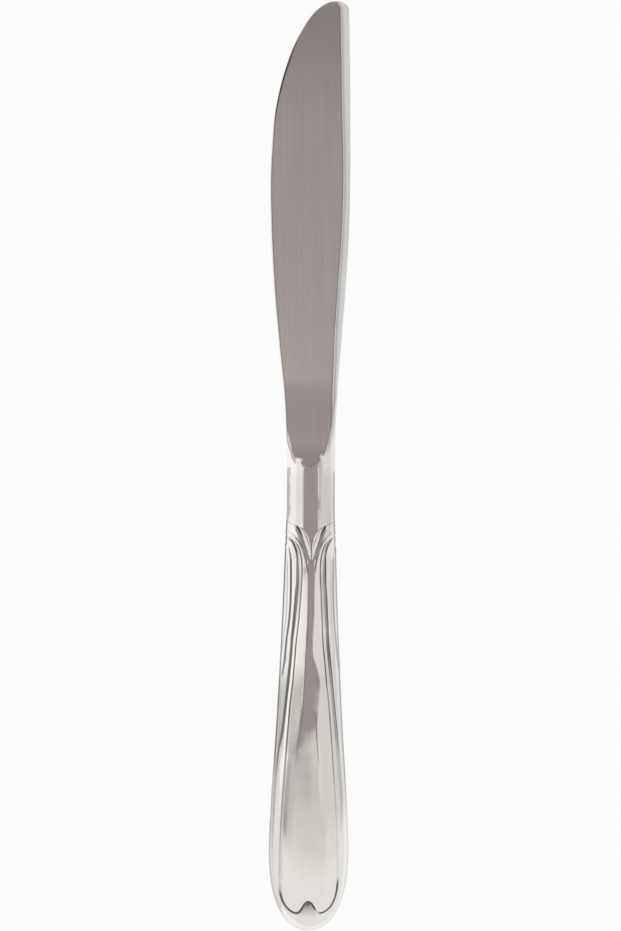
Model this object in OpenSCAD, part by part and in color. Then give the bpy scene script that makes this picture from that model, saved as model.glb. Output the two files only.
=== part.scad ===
// Table knife with a hollow handle, lying flat on the handle's back.
// The blade points along +Y, its cutting edge faces -X and its spine faces +X.

/* [Blade] */
// Length of the blade from the handle's mouth to the tip
blade_l = 115.5; // [95:0.5:140]
// Distance from the mouth to the widest place of the blade
belly_at = 70; // [55:0.5:85]
// Reach of the cutting edge from the knife's axis at that place
edge_reach = 10.7; // [8:0.1:14]
// Reach of the spine from the knife's axis at that place
spine_reach = 9.3; // [7.5:0.1:12]
// How far the spine drops back towards the axis at the tip
spine_drop = 0.6; // [0:0.1:1.2]
// Sideways place of the tip's foremost point
tip_x = 5.5; // [3:0.1:6]
// Length of the round corner between the tip and the spine
tip_corner_l = 2; // [1:0.1:6]
// Thickness of the blade at the spine, beside the bolster
blade_t = 2.4; // [1.8:0.1:3]
// Thickness of the blade at the spine, at the tip
tip_t = 1.4; // [1:0.1:1.8]
// Thickness of the cutting edge
edge_t = 0.4; // [0.2:0.05:0.6]
// Width of the bevel along the cutting edge
bevel_w = 0.6; // [0.3:0.1:1.2]
// Width of the rounded, polished strip along the spine
spine_w = 2; // [1:0.1:3]
// Length over which the bolster runs out into the blade
bolster_l = 14; // [10:0.5:22]

/* [Tang] */
// Depth of the plug behind the bolster, inside the handle's mouth
plug_l = 6; // [3:0.5:7]
// Distance from the mouth to the tang's end
tang_l = 58; // [35:1:75]
// Width of the tang behind the plug
tang_w = 6; // [4:0.1:7]
// Width of the tang at its end
tang_end_w = 4; // [2:0.1:4]
// Thickness of the tang
tang_t = 2.6; // [1.5:0.1:3]

/* [Handle] */
// Length of the handle from its mouth to the butt
handle_l = 114.5; // [100:0.5:130]
// Length of the straight neck behind the mouth
neck_l = 8; // [7.5:0.5:11]
// Length of the round butt, behind the widest place
butt_l = 20; // [15:0.5:24]
// Width of the neck
neck_w = 11.9; // [10.5:0.1:14]
// Thickness of the neck
neck_t = 8; // [7:0.1:9.5]
// Width of the handle at its widest place
handle_w = 19.8; // [17:0.1:24]
// Thickness of the handle at its thickest place
handle_t = 10.4; // [9.5:0.1:12]
// Thickness of the shells' sheet
wall = 0.8; // [0.5:0.05:1]
// How far the crown is flattened where the handle rests
rest_flat = 0.08; // [0.04:0.01:0.15]

/* [Threads] */
// Distance from the mouth to where the rim crosses the handle's sides
rim_at = 13.4; // [12:0.2:18]
// Distance that the rim's point runs on along the crown
rim_l = 8; // [5:0.5:12]
// Height of the rim over the neck
rim_h = 0.3; // [0.1:0.05:0.4]
// Length over which the rim rises
rim_slope = 0.9; // [0.5:0.1:2]
// Distance from the mouth to where the threads have swung in from the sides
threads_at = 23; // [22:0.5:30]
// Width of the threads' grooves
groove_w = 0.8; // [0.4:0.05:1]
// Depth of the wide groove between the threads
groove_d = 0.35; // [0.1:0.05:0.45]
// Depth of the fine groove along the panel
line_d = 0.25; // [0.1:0.05:0.4]
// Height of the keel along the top of the panel
keel_h = 0.4; // [0:0.05:0.6]

/* [Braze] */
// Height of the seam's bead, over both shells
bead_h = 2; // [1:0.1:2.4]
// Thickness of the seam's bead
bead_w = 0.5; // [0.3:0.05:0.8]

/* [Hidden] */

// Place of the knife's axis, mouth and middle plane from the frame's origin
axis_x = (max(edge_reach, handle_w / 2) - max(spine_reach, handle_w / 2)) / 2;
mouth_y = (handle_l - blade_l) / 2;
mid_z = handle_t / 2;

// Lines over a half section: half as many inside as outside
lines_in = 6;
lines_out = 2 * lines_in;
ring_n = 4 * lines_in;
quarter = 90;

// Ribs of the handle, from the mouth to the butt
rim_ribs = 17;
body_ribs = 16;
butt_ribs = 10;

// Rings of the blade, from the bolster to the tip
bolster_rings = 9;
blade_rings = 9;
tip_rings = 16;

// Outline of the cutting edge, from the mouth to the widest place
edge_rise_share = [[0, 0], [0.1, 0.055], [0.25, 0.2], [0.45, 0.51], [0.65, 0.78], [0.85, 0.945], [1, 1]];
// The same for the spine
spine_rise_share = [[0, 0], [0.1, 0.01], [0.25, 0.14], [0.45, 0.43], [0.65, 0.73], [0.85, 0.95], [1, 1]];
// Outline of the cutting edge from the tip, over the root of the distance
tip_round_share = [[0, 0], [0.23, 0.32], [0.4, 0.535], [0.57, 0.745], [0.7, 0.875], [0.82, 0.955], [1, 1]];
tip_slope_share = 1.42;

// Round of the spine: places across the strip and up the half thickness
spine_round_share = [[1, 0], [0.97, 0.35], [0.8, 0.62], [0.45, 0.84], [0, 1]];
// Lines across the blade's flat, from the spine strip to the edge bevel
flat_share = [0.2, 0.42, 0.62, 0.8, 0.92];
// Corner of the cutting edge, and the bevel's height over the edge
edge_corner_share = [0.15, 0.85];
bevel_rise_share = 1.9;

// Quarter of the tang's section, from its side to its top
tang_share = [[1, 0], [1, 0.5], [1, 1], [0.75, 1], [0.5, 1], [0.25, 1], [0, 1]];

// Growth of the handle's width and thickness, from the neck to the widest place
flare_share = [[0, 0], [0.17, 0.11], [0.41, 0.32], [0.65, 0.59], [0.87, 0.89], [1, 1]];
crown_share = [[0, 0], [0.2, 0.12], [0.45, 0.38], [0.7, 0.78], [0.9, 0.98], [1, 1]];
// Middle of the butt's fan, and the thickness left there
butt_mid_share = 0.5;
butt_crown_share = 0.94;
// Powers of the rounds: sections at the neck and the belly, outline of the butt
neck_power = 2;
belly_power = 2.35;
butt_power = 2.3;

// Fine and wide grooves, as shares of the half width from the threads' start to the widest place
fine_share = [[0, 0.385], [0.08, 0.39], [0.22, 0.46], [0.5, 0.61], [0.75, 0.68], [1, 0.73]];
wide_share = [[0, 0.53], [0.08, 0.54], [0.22, 0.61], [0.5, 0.77], [0.75, 0.845], [1, 0.865]];
// End of the panel round the butt: two lobes, and the notch between them on the axis
lobe_share = [[0, 0.73], [0.17, 0.744], [0.33, 0.8], [0.5, 0.82], [0.67, 0.765], [0.78, 0.7],
    [0.88, 0.5], [1, 0.32]];
// Lines outside the threads, and over the panel
side_share = [1, 0.985, 0.94];
panel_share = [0.7, 0.4, 0.15, 0];
// Run of the rim's line along the handle, from the crown to the side
rim_share = [[0, 1], [0.08, 0.75], [0.2, 0.57], [0.37, 0.37], [0.55, 0.18], [0.74, 0.1], [1, 0]];
// Where the wide groove starts to fade, and where the keel has sunk into the panel
groove_fade_share = 0.85;
keel_fade_share = 0.7;

// Steps and tables
function mix(a, b, t) = a + (b - a) * t;
function clip(t) = max(0, min(1, t));
function ease(t) = let (c = clip(t)) c * c * (3 - 2 * c);
function span(tb, t, i = 0) = (i >= len(tb) - 2 || t < tb[i + 1][0]) ? i : span(tb, t, i + 1);
function rise(tb, i) = (tb[i + 1][1] - tb[i][1]) / (tb[i + 1][0] - tb[i][0]);
function bend(p, q) = p * q <= 0 ? 0 : 2 * p * q / (p + q);
function lead(tb, i, first) = i == 0 ? first : i == len(tb) - 1 ? 0 : bend(rise(tb, i - 1), rise(tb, i));

// Smooth curve through a table's points that doesn't swing past them
function curve(tb, t, first = 0) =
    let (i = span(tb, t),
        h = tb[i + 1][0] - tb[i][0],
        u = clip((t - tb[i][0]) / h),
        a = lead(tb, i, first) * h,
        b = lead(tb, i + 1, first) * h)
    mix(tb[i][1], tb[i + 1][1], ease(u)) + u * (1 - u) * (a * (1 - u) - b * u);

// Height of a rounded section at share f of its half width
function arch(f, power) = pow(max(0, 1 - pow(abs(f), power)), 1 / power);

// Blade outline at distance s from the mouth
tip_l = blade_l - belly_at;
function edge_x(s) = s <= belly_at
    ? mix(neck_w / 2, edge_reach, curve(edge_rise_share, s / belly_at))
    : mix(-tip_x, edge_reach, curve(tip_round_share, sqrt((blade_l - s) / tip_l), tip_slope_share));
function spine_line(s) = s <= belly_at
    ? mix(neck_w / 2, spine_reach, curve(spine_rise_share, s / belly_at))
    : spine_reach - spine_drop * pow((s - belly_at) / tip_l, 2);
function corner(s) = sqrt(1 - pow(1 - clip((blade_l - s) / tip_corner_l), 2));

// Half section of the blade, from the spine over the top to the cutting edge
function blade_side(s) =
    let (xs = mix(tip_x, spine_line(s), corner(s)),
        xe = -edge_x(s),
        narrow = min(1, (xs - xe) / (spine_w + bevel_w) / 2),
        ws = spine_w * narrow,
        wb = bevel_w * narrow,
        hs = mix(blade_t, tip_t, s / blade_l) / 2 * corner(s),
        he = edge_t / 2 * corner(s),
        hb = he * bevel_rise_share)
    concat(
        [for (c = spine_round_share) [xs - ws * (1 - c[0]), hs * c[1]]],
        [for (c = flat_share) [mix(xs - ws, xe + wb, c), mix(hs, hb, c)]],
        [[xe + wb, hb], [xe + wb * edge_corner_share[0], he * edge_corner_share[1]], [xe, 0]]);

// Half sections of the neck and the tang, with as many points
function neck_side(a, b) =
    [for (k = [0:2 * lines_in])
        let (f = cos(quarter * k / lines_in))
        [a * f, k % (2 * lines_in) == 0 ? 0 : b * arch(f, neck_power)]];
function tang_side(w) =
    concat([for (c = tang_share) [w / 2 * c[0], tang_t / 2 * c[1]]],
        [for (k = [lines_in - 1:-1:0]) [-w / 2 * tang_share[k][0], tang_t / 2 * tang_share[k][1]]]);

// Bolster: the neck's section runs out into the blade's
function bolster_side(s) =
    let (a = neck_side(neck_w / 2, neck_t / 2), b = blade_side(s))
    [for (k = [0:len(a) - 1]) mix(a[k], b[k], ease(s / bolster_l))];

// Whole ring at place y from a half section
function ring(side, y) =
    concat([for (p = side) [p[0], y, p[1]]],
        [for (k = [len(side) - 2:-1:1]) [side[k][0], y, -side[k][1]]]);

blade_places = concat(
    [for (i = [0:bolster_rings]) bolster_l * i / bolster_rings],
    [for (i = [1:blade_rings]) mix(bolster_l, belly_at, i / blade_rings)],
    [for (i = [1:tip_rings - 1]) blade_l - tip_l * pow(1 - i / tip_rings, 2)]);

// Handle: ribs stand across the body and fan out round the butt's middle
widest_at = handle_l - butt_l;
rib_places = concat([0, plug_l],
    [for (i = [0:rim_ribs]) mix(neck_l, threads_at, i / rim_ribs)],
    [for (i = [1:body_ribs]) mix(threads_at, widest_at, i / body_ribs)]);
plug_rib = 1;
straight_rib = len(rib_places) - 1;
last_rib = straight_rib + butt_ribs;

function place(i) = rib_places[min(i, straight_rib)];
function turn(i) = quarter * max(0, i - straight_rib) / butt_ribs;
function body(q) = clip((q - neck_l) / (widest_at - neck_l));
function threads(q) = clip((q - threads_at) / (widest_at - threads_at));
function half_w(q) = mix(neck_w, handle_w, curve(flare_share, body(q))) / 2;
function crown(i) =
    mix(neck_t / 2, handle_t / 2 + rest_flat, curve(crown_share, body(place(i))))
        * mix(butt_crown_share, 1, cos(turn(i)));
function power(i) = mix(neck_power, belly_power, ease(body(place(i))));

// Plan of rib i: its foot on the seam, drawn in by d, and its head on the axis
function foot(i, d) = [-(half_w(place(i)) - d) * pow(cos(turn(i)), 2 / butt_power),
    -place(i) - (butt_l - d) * pow(sin(turn(i)), 2 / butt_power)];
function head(i) = [0, -place(i) - butt_mid_share * butt_l * sin(turn(i))];

// Lines over the outside as shares of the rib: even on the neck, along the threads below
function fine_at(i) = turn(i) == 0
    ? curve(fine_share, threads(place(i)))
    : curve(lobe_share, turn(i) / quarter);
function wide_at(i) = turn(i) == 0
    ? curve(wide_share, threads(place(i)))
    : mix(curve(wide_share, 1), (side_share[2] + fine_at(i)) / 2, turn(i) / quarter);
function swing(i) = ease((place(i) - rim_at) / (threads_at - rim_at));
function lines_at(i) =
    let (a = fine_at(i),
        b = wide_at(i),
        g = groove_w / 2 / half_w(place(i)),
        t = concat(side_share, [(b + g + side_share[2]) / 2, b + g, b, (a + b) / 2, a],
            [a - g], [for (c = panel_share) (a - g) * c]))
    [for (j = [0:lines_out]) mix(cos(quarter * j / lines_out), t[j], swing(i))];

// Relief over the rounded section
function rim_relief(i, f) =
    let (start = rim_at + rim_l * curve(rim_share, f))
    rim_h * ease((place(i) - start) / rim_slope) * (1 - ease(threads(place(i))));
function keel_relief(i, f) =
    keel_h * max(0, 1 - f / fine_at(i)) * swing(i) * (1 - ease(threads(place(i)) / keel_fade_share));
function groove_relief(i, j) =
    let (fade = clip((1 - threads(place(i))) / (1 - groove_fade_share)))
    j == 5 ? -groove_d * swing(i) * fade : j == 7 ? -line_d * swing(i) : 0;

// Points of rib i outside and inside, from the seam to the crown
function outside(i) =
    let (f = lines_at(i))
    [for (j = [0:lines_out])
        let (p = mix(head(i), foot(i, 0), f[j]),
            round = arch(f[j], power(i)),
            relief = rim_relief(i, f[j]) + keel_relief(i, f[j]) + groove_relief(i, j))
        [p[0], p[1], j == 0 ? 0 : min(handle_t / 2, crown(i) * round + relief * min(1, 2 * round))]];
function bead_line(i) = arch(bead_h / 2 / (crown(i) - wall), power(i));
function inner_line(i, j) = i <= plug_rib
    ? cos(quarter * j / lines_in)
    : bead_line(i) * cos(quarter * max(0, j - 1) / (lines_in - 1));
function inside(i) =
    [for (j = [0:lines_in])
        let (f = j == 0 ? 1 : inner_line(i, j), p = mix(head(i), foot(i, wall), f))
        [p[0], p[1], j == 0 ? 0 : (crown(i) - wall) * arch(f, power(i))]];

// Inner corner of the seam's bead, drawn in from the top of the bead
function bead_corner(i) =
    let (p = inside(i)[1], run = head(i) - foot(i, wall), n = run / norm(run) * bead_w)
    [p[0] + n[0], p[1] + n[1], p[2] / 2];

// A sheet is a grid of points on the knife's -X side, from its first rib to the butt, and its mirror image.
// Its two sides share the last rib, and the last line where that lies on the axis.
function sheet(base, rows, cols, shared) = [base, rows, cols, shared ? cols - 1 : cols];
function sheet_end(s) = s[0] + s[1] * s[2] + (s[1] - 1) * s[3];
function sheet_points(rows, shared) =
    concat([for (r = rows) each r],
        [for (i = [0:len(rows) - 2]) for (j = [0:len(rows[i]) - (shared ? 2 : 1)])
            [-rows[i][j][0], rows[i][j][1], rows[i][j][2]]]);
function vertex(s, side, i, j) = side == 0 || i == s[1] - 1 || j >= s[3]
    ? s[0] + i * s[2] + j
    : s[0] + s[1] * s[2] + i * s[3] + j;
function line(s, side, j) = [for (i = [0:s[1] - 1]) vertex(s, side, i, j)];
function rim(s, i) = concat([for (j = [0:s[2] - 1]) vertex(s, 0, i, j)],
    [for (j = [s[2] - 2:-1:0]) vertex(s, 1, i, j)]);
function strip(a, b, way) =
    [for (i = [0:len(a) - 2]) each way
        ? [[a[i], a[i + 1], b[i + 1]], [a[i], b[i + 1], b[i]]]
        : [[a[i], b[i + 1], a[i + 1]], [a[i], b[i], b[i + 1]]]];
function band(s, j, t, k, way) =
    [for (side = [0, 1]) each strip(line(s, side, j), line(t, side, k), (side == 0) == way)];
function skin(s, way) = [for (j = [0:s[2] - 2]) each band(s, j, s, j + 1, way)];
function flip(points) = [for (p = points) [p[0], p[1], -p[2]]];

// Blade, bolster, plug and tang, forged in one
module blade() {
    plug = neck_side(neck_w / 2 - wall, neck_t / 2 - wall);
    rings = concat(
        [ring(tang_side(tang_end_w), -tang_l), ring(tang_side(tang_w), -plug_l)],
        [ring(plug, -plug_l), ring(plug, 0)],
        [for (s = blade_places) ring(bolster_side(s), s)]);
    last = (len(rings) - 1) * ring_n;
    color("silver")
    translate([axis_x, mouth_y, mid_z])
    polyhedron(
        points = concat([for (r = rings) each r], [[tip_x, blade_l, 0], [0, -tang_l, 0]]),
        faces = concat(
            [for (k = [0:ring_n - 1]) [(k + 1) % ring_n, k, last + ring_n + 1]],
            [for (i = [0:len(rings) - 2]) for (k = [0:ring_n - 1])
                let (a = i * ring_n + k, b = i * ring_n + (k + 1) % ring_n)
                each [[a, b + ring_n, a + ring_n], [a, b, b + ring_n]]],
            [for (k = [0:ring_n - 1]) [last + k, last + (k + 1) % ring_n, last + ring_n]]));
}

// Half of the hollow handle, struck from sheet, above the seam
module half_shell() {
    outer = [for (i = [0:last_rib]) outside(i)];
    inner = [for (i = [0:last_rib]) inside(i)];
    so = sheet(0, last_rib + 1, lines_out + 1, true);
    si = sheet(sheet_end(so), last_rib + 1, lines_in + 1, true);
    mo = rim(so, 0);
    mi = rim(si, 0);
    polyhedron(
        points = concat(sheet_points(outer, true), sheet_points(inner, true)),
        faces = concat(skin(so, false), skin(si, true), band(so, 0, si, 0, true),
            [for (k = [0:len(mi) - 2]) each [[mo[2 * k], mi[k], mo[2 * k + 1]],
                [mo[2 * k + 1], mi[k], mi[k + 1]],
                [mo[2 * k + 1], mi[k + 1], mo[2 * k + 2]]]]));
}

module front_shell() {
    color("gainsboro")
    translate([axis_x, mouth_y, mid_z])
    half_shell();
}

module back_shell() {
    color("lightgray")
    translate([axis_x, mouth_y, mid_z])
    mirror([0, 0, 1])
    half_shell();
}

// Bead of braze along the inside of the seam, round the butt
module seam_braze() {
    rows = [for (i = [plug_rib:last_rib])
        let (c = inside(i), b = bead_corner(i))
        concat([c[0], c[1], b], flip([b, c[1]]))];
    s = sheet(0, len(rows), len(rows[0]), false);
    ends = [for (side = [0, 1]) [for (j = [0:len(rows[0]) - 1]) vertex(s, side, 0, j)]];
    color("darkgoldenrod")
    translate([axis_x, mouth_y, mid_z])
    polyhedron(
        points = sheet_points(rows, false),
        faces = concat(band(s, 0, s, 1, false), band(s, 2, s, 1, true), band(s, 3, s, 2, true),
            band(s, 3, s, 4, false), band(s, 0, s, 4, true),
            [[for (j = [len(ends[0]) - 1:-1:0]) ends[0][j]], ends[1]]));
}

// Cement that fills the handle round the tang
module tang_cement() {
    front = [for (i = [plug_rib:last_rib])
        concat([bead_corner(i)], [for (j = [1:lines_in]) inside(i)[j]])];
    back = [for (r = front) flip(r)];
    sf = sheet(0, len(front), len(front[0]), true);
    sb = sheet(sheet_end(sf), len(back), len(back[0]), true);
    f = rim(sf, 0);
    b = rim(sb, 0);
    c = sheet_end(sb);
    n = lines_in;
    corners = [[-1, 1], [1, 1], [1, -1], [-1, -1]];
    color("dimgray")
    translate([axis_x, mouth_y, mid_z])
    polyhedron(
        points = concat(sheet_points(front, true), sheet_points(back, true),
            [for (p = corners) [p[0] * tang_w / 2, -plug_l, p[1] * tang_t / 2]],
            [for (p = corners) [p[0] * tang_end_w / 2, -tang_l, p[1] * tang_t / 2]]),
        faces = concat(skin(sf, false), skin(sb, true), band(sb, 0, sf, 0, false),
            [for (k = [0:n - 1]) [f[k], c, f[k + 1]]],
            [for (k = [n:2 * n - 1]) [f[k], c + 1, f[k + 1]]],
            [for (k = [0:n - 1]) [b[k], b[k + 1], c + 3]],
            [for (k = [n:2 * n - 1]) [b[k], b[k + 1], c + 2]],
            [[f[n], c, c + 1], [b[n], c + 2, c + 3]],
            [[f[0], b[0], c + 3], [f[0], c + 3, c]],
            [[f[2 * n], c + 1, c + 2], [f[2 * n], c + 2, b[2 * n]]],
            [for (k = [0:3]) each [[c + k, c + 4 + (k + 1) % 4, c + (k + 1) % 4],
                [c + k, c + 4 + k, c + 4 + (k + 1) % 4]]],
            [[c + 7, c + 6, c + 5, c + 4]]));
}

blade();
front_shell();
back_shell();
seam_braze();
tang_cement();
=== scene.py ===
import math

import bmesh
import bpy
import numpy as np
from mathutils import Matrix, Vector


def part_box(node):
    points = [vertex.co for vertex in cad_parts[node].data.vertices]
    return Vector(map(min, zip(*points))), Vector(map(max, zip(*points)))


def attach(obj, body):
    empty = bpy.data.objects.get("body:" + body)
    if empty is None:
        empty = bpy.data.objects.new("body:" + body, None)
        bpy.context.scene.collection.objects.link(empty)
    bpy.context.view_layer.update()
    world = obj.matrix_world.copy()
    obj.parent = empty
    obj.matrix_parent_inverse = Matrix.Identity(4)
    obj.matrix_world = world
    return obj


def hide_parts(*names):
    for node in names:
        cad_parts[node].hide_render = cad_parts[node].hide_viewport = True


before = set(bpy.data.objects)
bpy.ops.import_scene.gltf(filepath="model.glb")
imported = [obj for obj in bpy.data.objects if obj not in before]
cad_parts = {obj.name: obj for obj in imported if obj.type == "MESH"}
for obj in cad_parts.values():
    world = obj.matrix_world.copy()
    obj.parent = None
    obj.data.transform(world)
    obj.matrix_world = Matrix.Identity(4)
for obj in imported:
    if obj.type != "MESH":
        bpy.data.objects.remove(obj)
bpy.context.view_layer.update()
print("frame loaded:", ", ".join(sorted(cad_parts)))

# Sizes are in mm, as in the solids. The knife's own frame has its mouth at zero, the blade
# towards +Y, the handle towards -Y and the middle plane at zero height.
mm = 0.001
shellLow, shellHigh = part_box("front_shell")
knifePlace = np.array([(shellLow.x + shellHigh.x) / 2, shellHigh.y, shellLow.z])


# Curves of the knife

def mix(a, b, t):
    return a + (b - a) * t


def clip(t):
    return np.clip(t, 0.0, 1.0)


def ease(t):
    c = clip(t)
    return c * c * (3 - 2 * c)


def rise(t, start, length):
    return ease((t - start) / length)


def fall(t, start, length):
    return 1 - ease((t - start) / length)


def patch(t, a, b, c, d):
    # rises from a to b and falls from c to d
    return rise(t, a, b - a) * fall(t, c, d - c)


def nearTo(t, middle, flat, soft):
    return fall(np.abs(t - middle), flat, soft)


def stripe(gap, low, high, soft):
    return ease((gap - low + soft) / soft) * ease((high + soft - gap) / soft)


def faded(t, steps):
    # goes down by a share at each step
    value = 1.0
    for share, start, length in steps:
        value = value * (1 - share * rise(t, start, length))
    return value


def between(t, table):
    # straight from point to point of a table
    return np.interp(t, *zip(*table))


def smooth(table, t, first=0.0):
    # a curve through the table's points that doesn't swing past them
    xs, ys = np.array(table, float).T
    t = np.asarray(t, float)
    rises = np.diff(ys) / np.diff(xs)
    leads = np.zeros(len(xs))
    leads[0] = first
    for k in range(1, len(xs) - 1):
        p, q = rises[k - 1], rises[k]
        leads[k] = 2 * p * q / (p + q) if p * q > 0 else 0.0
    i = np.clip(np.searchsorted(xs, t, side="right") - 1, 0, len(xs) - 2)
    h = xs[i + 1] - xs[i]
    u = clip((t - xs[i]) / h)
    return mix(ys[i], ys[i + 1], ease(u)) + u * (1 - u) * (leads[i] * h * (1 - u) - leads[i + 1] * h * u)


def arch(f, power):
    return np.maximum(0.0, 1 - np.abs(f) ** power) ** (1 / power)


def softMin(a, b, reach):
    return (a + b - np.sqrt((a - b) ** 2 + reach * reach)) / 2


def pathThrough(points, perSpan=10):
    # a round line through points in the plan
    p = np.array(points, float)
    ends = np.vstack([2 * p[0] - p[1], p, 2 * p[-1] - p[-2]])
    line = []
    for k in range(len(p) - 1):
        a, b, c, d = ends[k:k + 4]
        for u in np.arange(perSpan) / perSpan:
            line.append(0.5 * (2 * b + (c - a) * u + (2 * a - 5 * b + 4 * c - d) * u ** 2
                               + (3 * b - a - 3 * c + d) * u ** 3))
    line.append(p[-1])
    return np.array(line)


def signedDistance(places, path):
    # distance in the plan, positive on the side of the handle's contour
    best = np.full(len(places), 1e9)
    sign = np.ones(len(places))
    for a, b in zip(path[:-1], path[1:]):
        run = b - a
        rel = places - a
        u = clip(rel @ run / (run @ run))
        gap = rel - u[:, None] * run
        far = np.hypot(gap[:, 0], gap[:, 1])
        near = far < best
        best[near] = far[near]
        sign[near] = np.sign(rel[near, 0] * run[1] - rel[near, 1] * run[0])
    return best * np.where(sign == 0, 1, sign)


# Meshes

def zipLines(a, b):
    # triangles between two lines of any counts
    faces = []
    i = j = 0
    while i < len(a) - 1 or j < len(b) - 1:
        nextA = (i + 1) / max(1, len(a) - 1) if i < len(a) - 1 else 2.0
        nextB = (j + 1) / max(1, len(b) - 1) if j < len(b) - 1 else 2.0
        if nextA <= nextB:
            faces.append((a[i], b[j], a[i + 1]))
            i += 1
        else:
            faces.append((a[i], b[j], b[j + 1]))
            j += 1
    return faces


def gridFaces(first, rows, cols):
    i, j = np.meshgrid(np.arange(rows - 1), np.arange(cols - 1), indexing="ij")
    a = (first + i * cols + j).ravel()
    return np.stack([a, a + 1, a + cols + 1, a + cols], 1).tolist()


def placeObject(name, data):
    made = bpy.data.objects.new(name, data)
    bpy.context.scene.collection.objects.link(made)
    return made


def makeObject(name, points, faces, numbers):
    # points in mm in the knife's own frame; numbers are named values on the points
    mesh = bpy.data.meshes.new(name)
    mesh.from_pydata((points * mm + knifePlace).tolist(), [], faces)
    for key, values in numbers.items():
        values = np.asarray(values, np.float32)
        kind = "FLOAT_VECTOR" if values.ndim == 2 else "FLOAT"
        layer = mesh.attributes.new(key, kind, "POINT")
        layer.data.foreach_set("vector" if values.ndim == 2 else "value", values.ravel())
    return placeObject(name, mesh)


def weld(made, gap=0.002, sharp=50):
    # joins points that lie on each other, and smooths the faces up to an angle
    work = bmesh.new()
    work.from_mesh(made.data)
    bmesh.ops.remove_doubles(work, verts=work.verts, dist=gap * mm)
    bmesh.ops.dissolve_degenerate(work, edges=work.edges, dist=gap * mm / 4)
    bmesh.ops.recalc_face_normals(work, faces=work.faces)
    if work.calc_volume(signed=True) < 0:
        bmesh.ops.reverse_faces(work, faces=work.faces)
    work.to_mesh(made.data)
    work.free()
    made.data.shade_smooth()
    made.data.set_sharp_from_angle(angle=math.radians(sharp))


# Node trees

def reckoning(operation, turned=False):
    # a method that adds one Math node
    def reckon(self, *others):
        values = (*others, self) if turned else (self, *others)
        return self.bench.wire("ShaderNodeMath", {"operation": operation}, dict(enumerate(values)))
    return reckon


class Wire:
    # an output socket that can be reckoned with
    def __init__(self, bench, socket):
        self.bench = bench
        self.socket = socket

    __add__ = __radd__ = reckoning("ADD")
    __sub__ = reckoning("SUBTRACT")
    __rsub__ = reckoning("SUBTRACT", True)
    __mul__ = __rmul__ = reckoning("MULTIPLY")
    __truediv__ = reckoning("DIVIDE")
    size = reckoning("ABSOLUTE")
    atLeast = reckoning("MAXIMUM")
    atMost = reckoning("MINIMUM")
    power = reckoning("POWER")
    sine = reckoning("SINE")

    def __neg__(self):
        return self * -1.0

    def ramp(self, low, high, style="SMOOTHSTEP"):
        # 0 below low and 1 above high
        return self.bench.wire("ShaderNodeMapRange", {"interpolation_type": style},
                               {0: self, 1: low, 2: high, 3: 0.0, 4: 1.0})

    def patch(self, a, b, c, d):
        return self.ramp(a, b) * (1 - self.ramp(c, d))


class Bench:
    # one node tree and the one way to add a node to it
    def __init__(self, tree):
        self.tree = tree

    def node(self, kind, settings=None, inputs=None):
        made = self.tree.nodes.new(kind)
        for key, value in (settings or {}).items():
            if key == "stops":
                while len(made.color_ramp.elements) < len(value):
                    made.color_ramp.elements.new(0.5)
                for stop, (place, colour) in zip(made.color_ramp.elements, value):
                    stop.position = place
                    stop.color = colour
            else:
                setattr(made, key, value)
        for key, value in (inputs or {}).items():
            if isinstance(value, Wire):
                self.tree.links.new(value.socket, made.inputs[key])
            else:
                made.inputs[key].default_value = value
        return made

    def wire(self, kind, settings=None, inputs=None, output=0):
        return Wire(self, self.node(kind, settings, inputs).outputs[output])

    def split(self, vector):
        parts = self.node("ShaderNodeSeparateXYZ", {}, {0: vector})
        return [Wire(self, parts.outputs[k]) for k in range(3)]

    def blend(self, share, low, high):
        # colours by a share
        return self.wire("ShaderNodeMix", {"data_type": "RGBA"}, {0: share, 6: low, 7: high}, 2)


def shapeTree(name, inputs):
    # a Geometry Nodes tree with a geometry, named sizes and a material
    tree = bpy.data.node_groups.new(name, "GeometryNodeTree")
    tree.interface.new_socket("Geometry", in_out="INPUT", socket_type="NodeSocketGeometry")
    tree.interface.new_socket("Geometry", in_out="OUTPUT", socket_type="NodeSocketGeometry")
    for label in inputs:
        tree.interface.new_socket(label, in_out="INPUT", socket_type="NodeSocketFloat")
    tree.interface.new_socket("Material", in_out="INPUT", socket_type="NodeSocketMaterial")
    bench = Bench(tree)
    start = bench.node("NodeGroupInput")
    return bench, {key: Wire(bench, start.outputs[key]) for key in ["Geometry", "Material", *inputs]}


def finishTree(bench, geometry, material):
    real = bench.wire("GeometryNodeRealizeInstances", {}, {0: geometry})
    dressed = bench.wire("GeometryNodeSetMaterial", {}, {"Geometry": real, "Material": material})
    end = bench.node("NodeGroupOutput")
    bench.tree.links.new(dressed.socket, end.inputs[0])


def named(bench, key, kind="FLOAT"):
    return bench.wire("GeometryNodeInputNamedAttribute", {"data_type": kind}, {"Name": key})


def applyTree(made, bench, values, material):
    # sets the modifier's inputs by their identifiers, then keeps the result as a plain mesh
    modifier = made.modifiers.new("shape", "NODES")
    modifier.node_group = bench.tree
    for item in bench.tree.interface.items_tree:
        if item.in_out == "INPUT" and item.name in values:
            modifier[item.identifier] = values[item.name]
        if item.in_out == "INPUT" and item.name == "Material":
            modifier[item.identifier] = material
    bpy.context.view_layer.update()
    evaluated = made.evaluated_get(bpy.context.evaluated_depsgraph_get())
    plain = bpy.data.meshes.new_from_object(evaluated)
    made.modifiers.remove(modifier)
    made.data = plain


# Materials

def newMaterial(name):
    material = bpy.data.materials.new(name)
    material.use_nodes = True
    material.node_tree.nodes.clear()
    bench = Bench(material.node_tree)
    return material, bench


def endMaterial(bench, shader):
    end = bench.node("ShaderNodeOutputMaterial")
    bench.tree.links.new(shader.socket, end.inputs[0])


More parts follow.
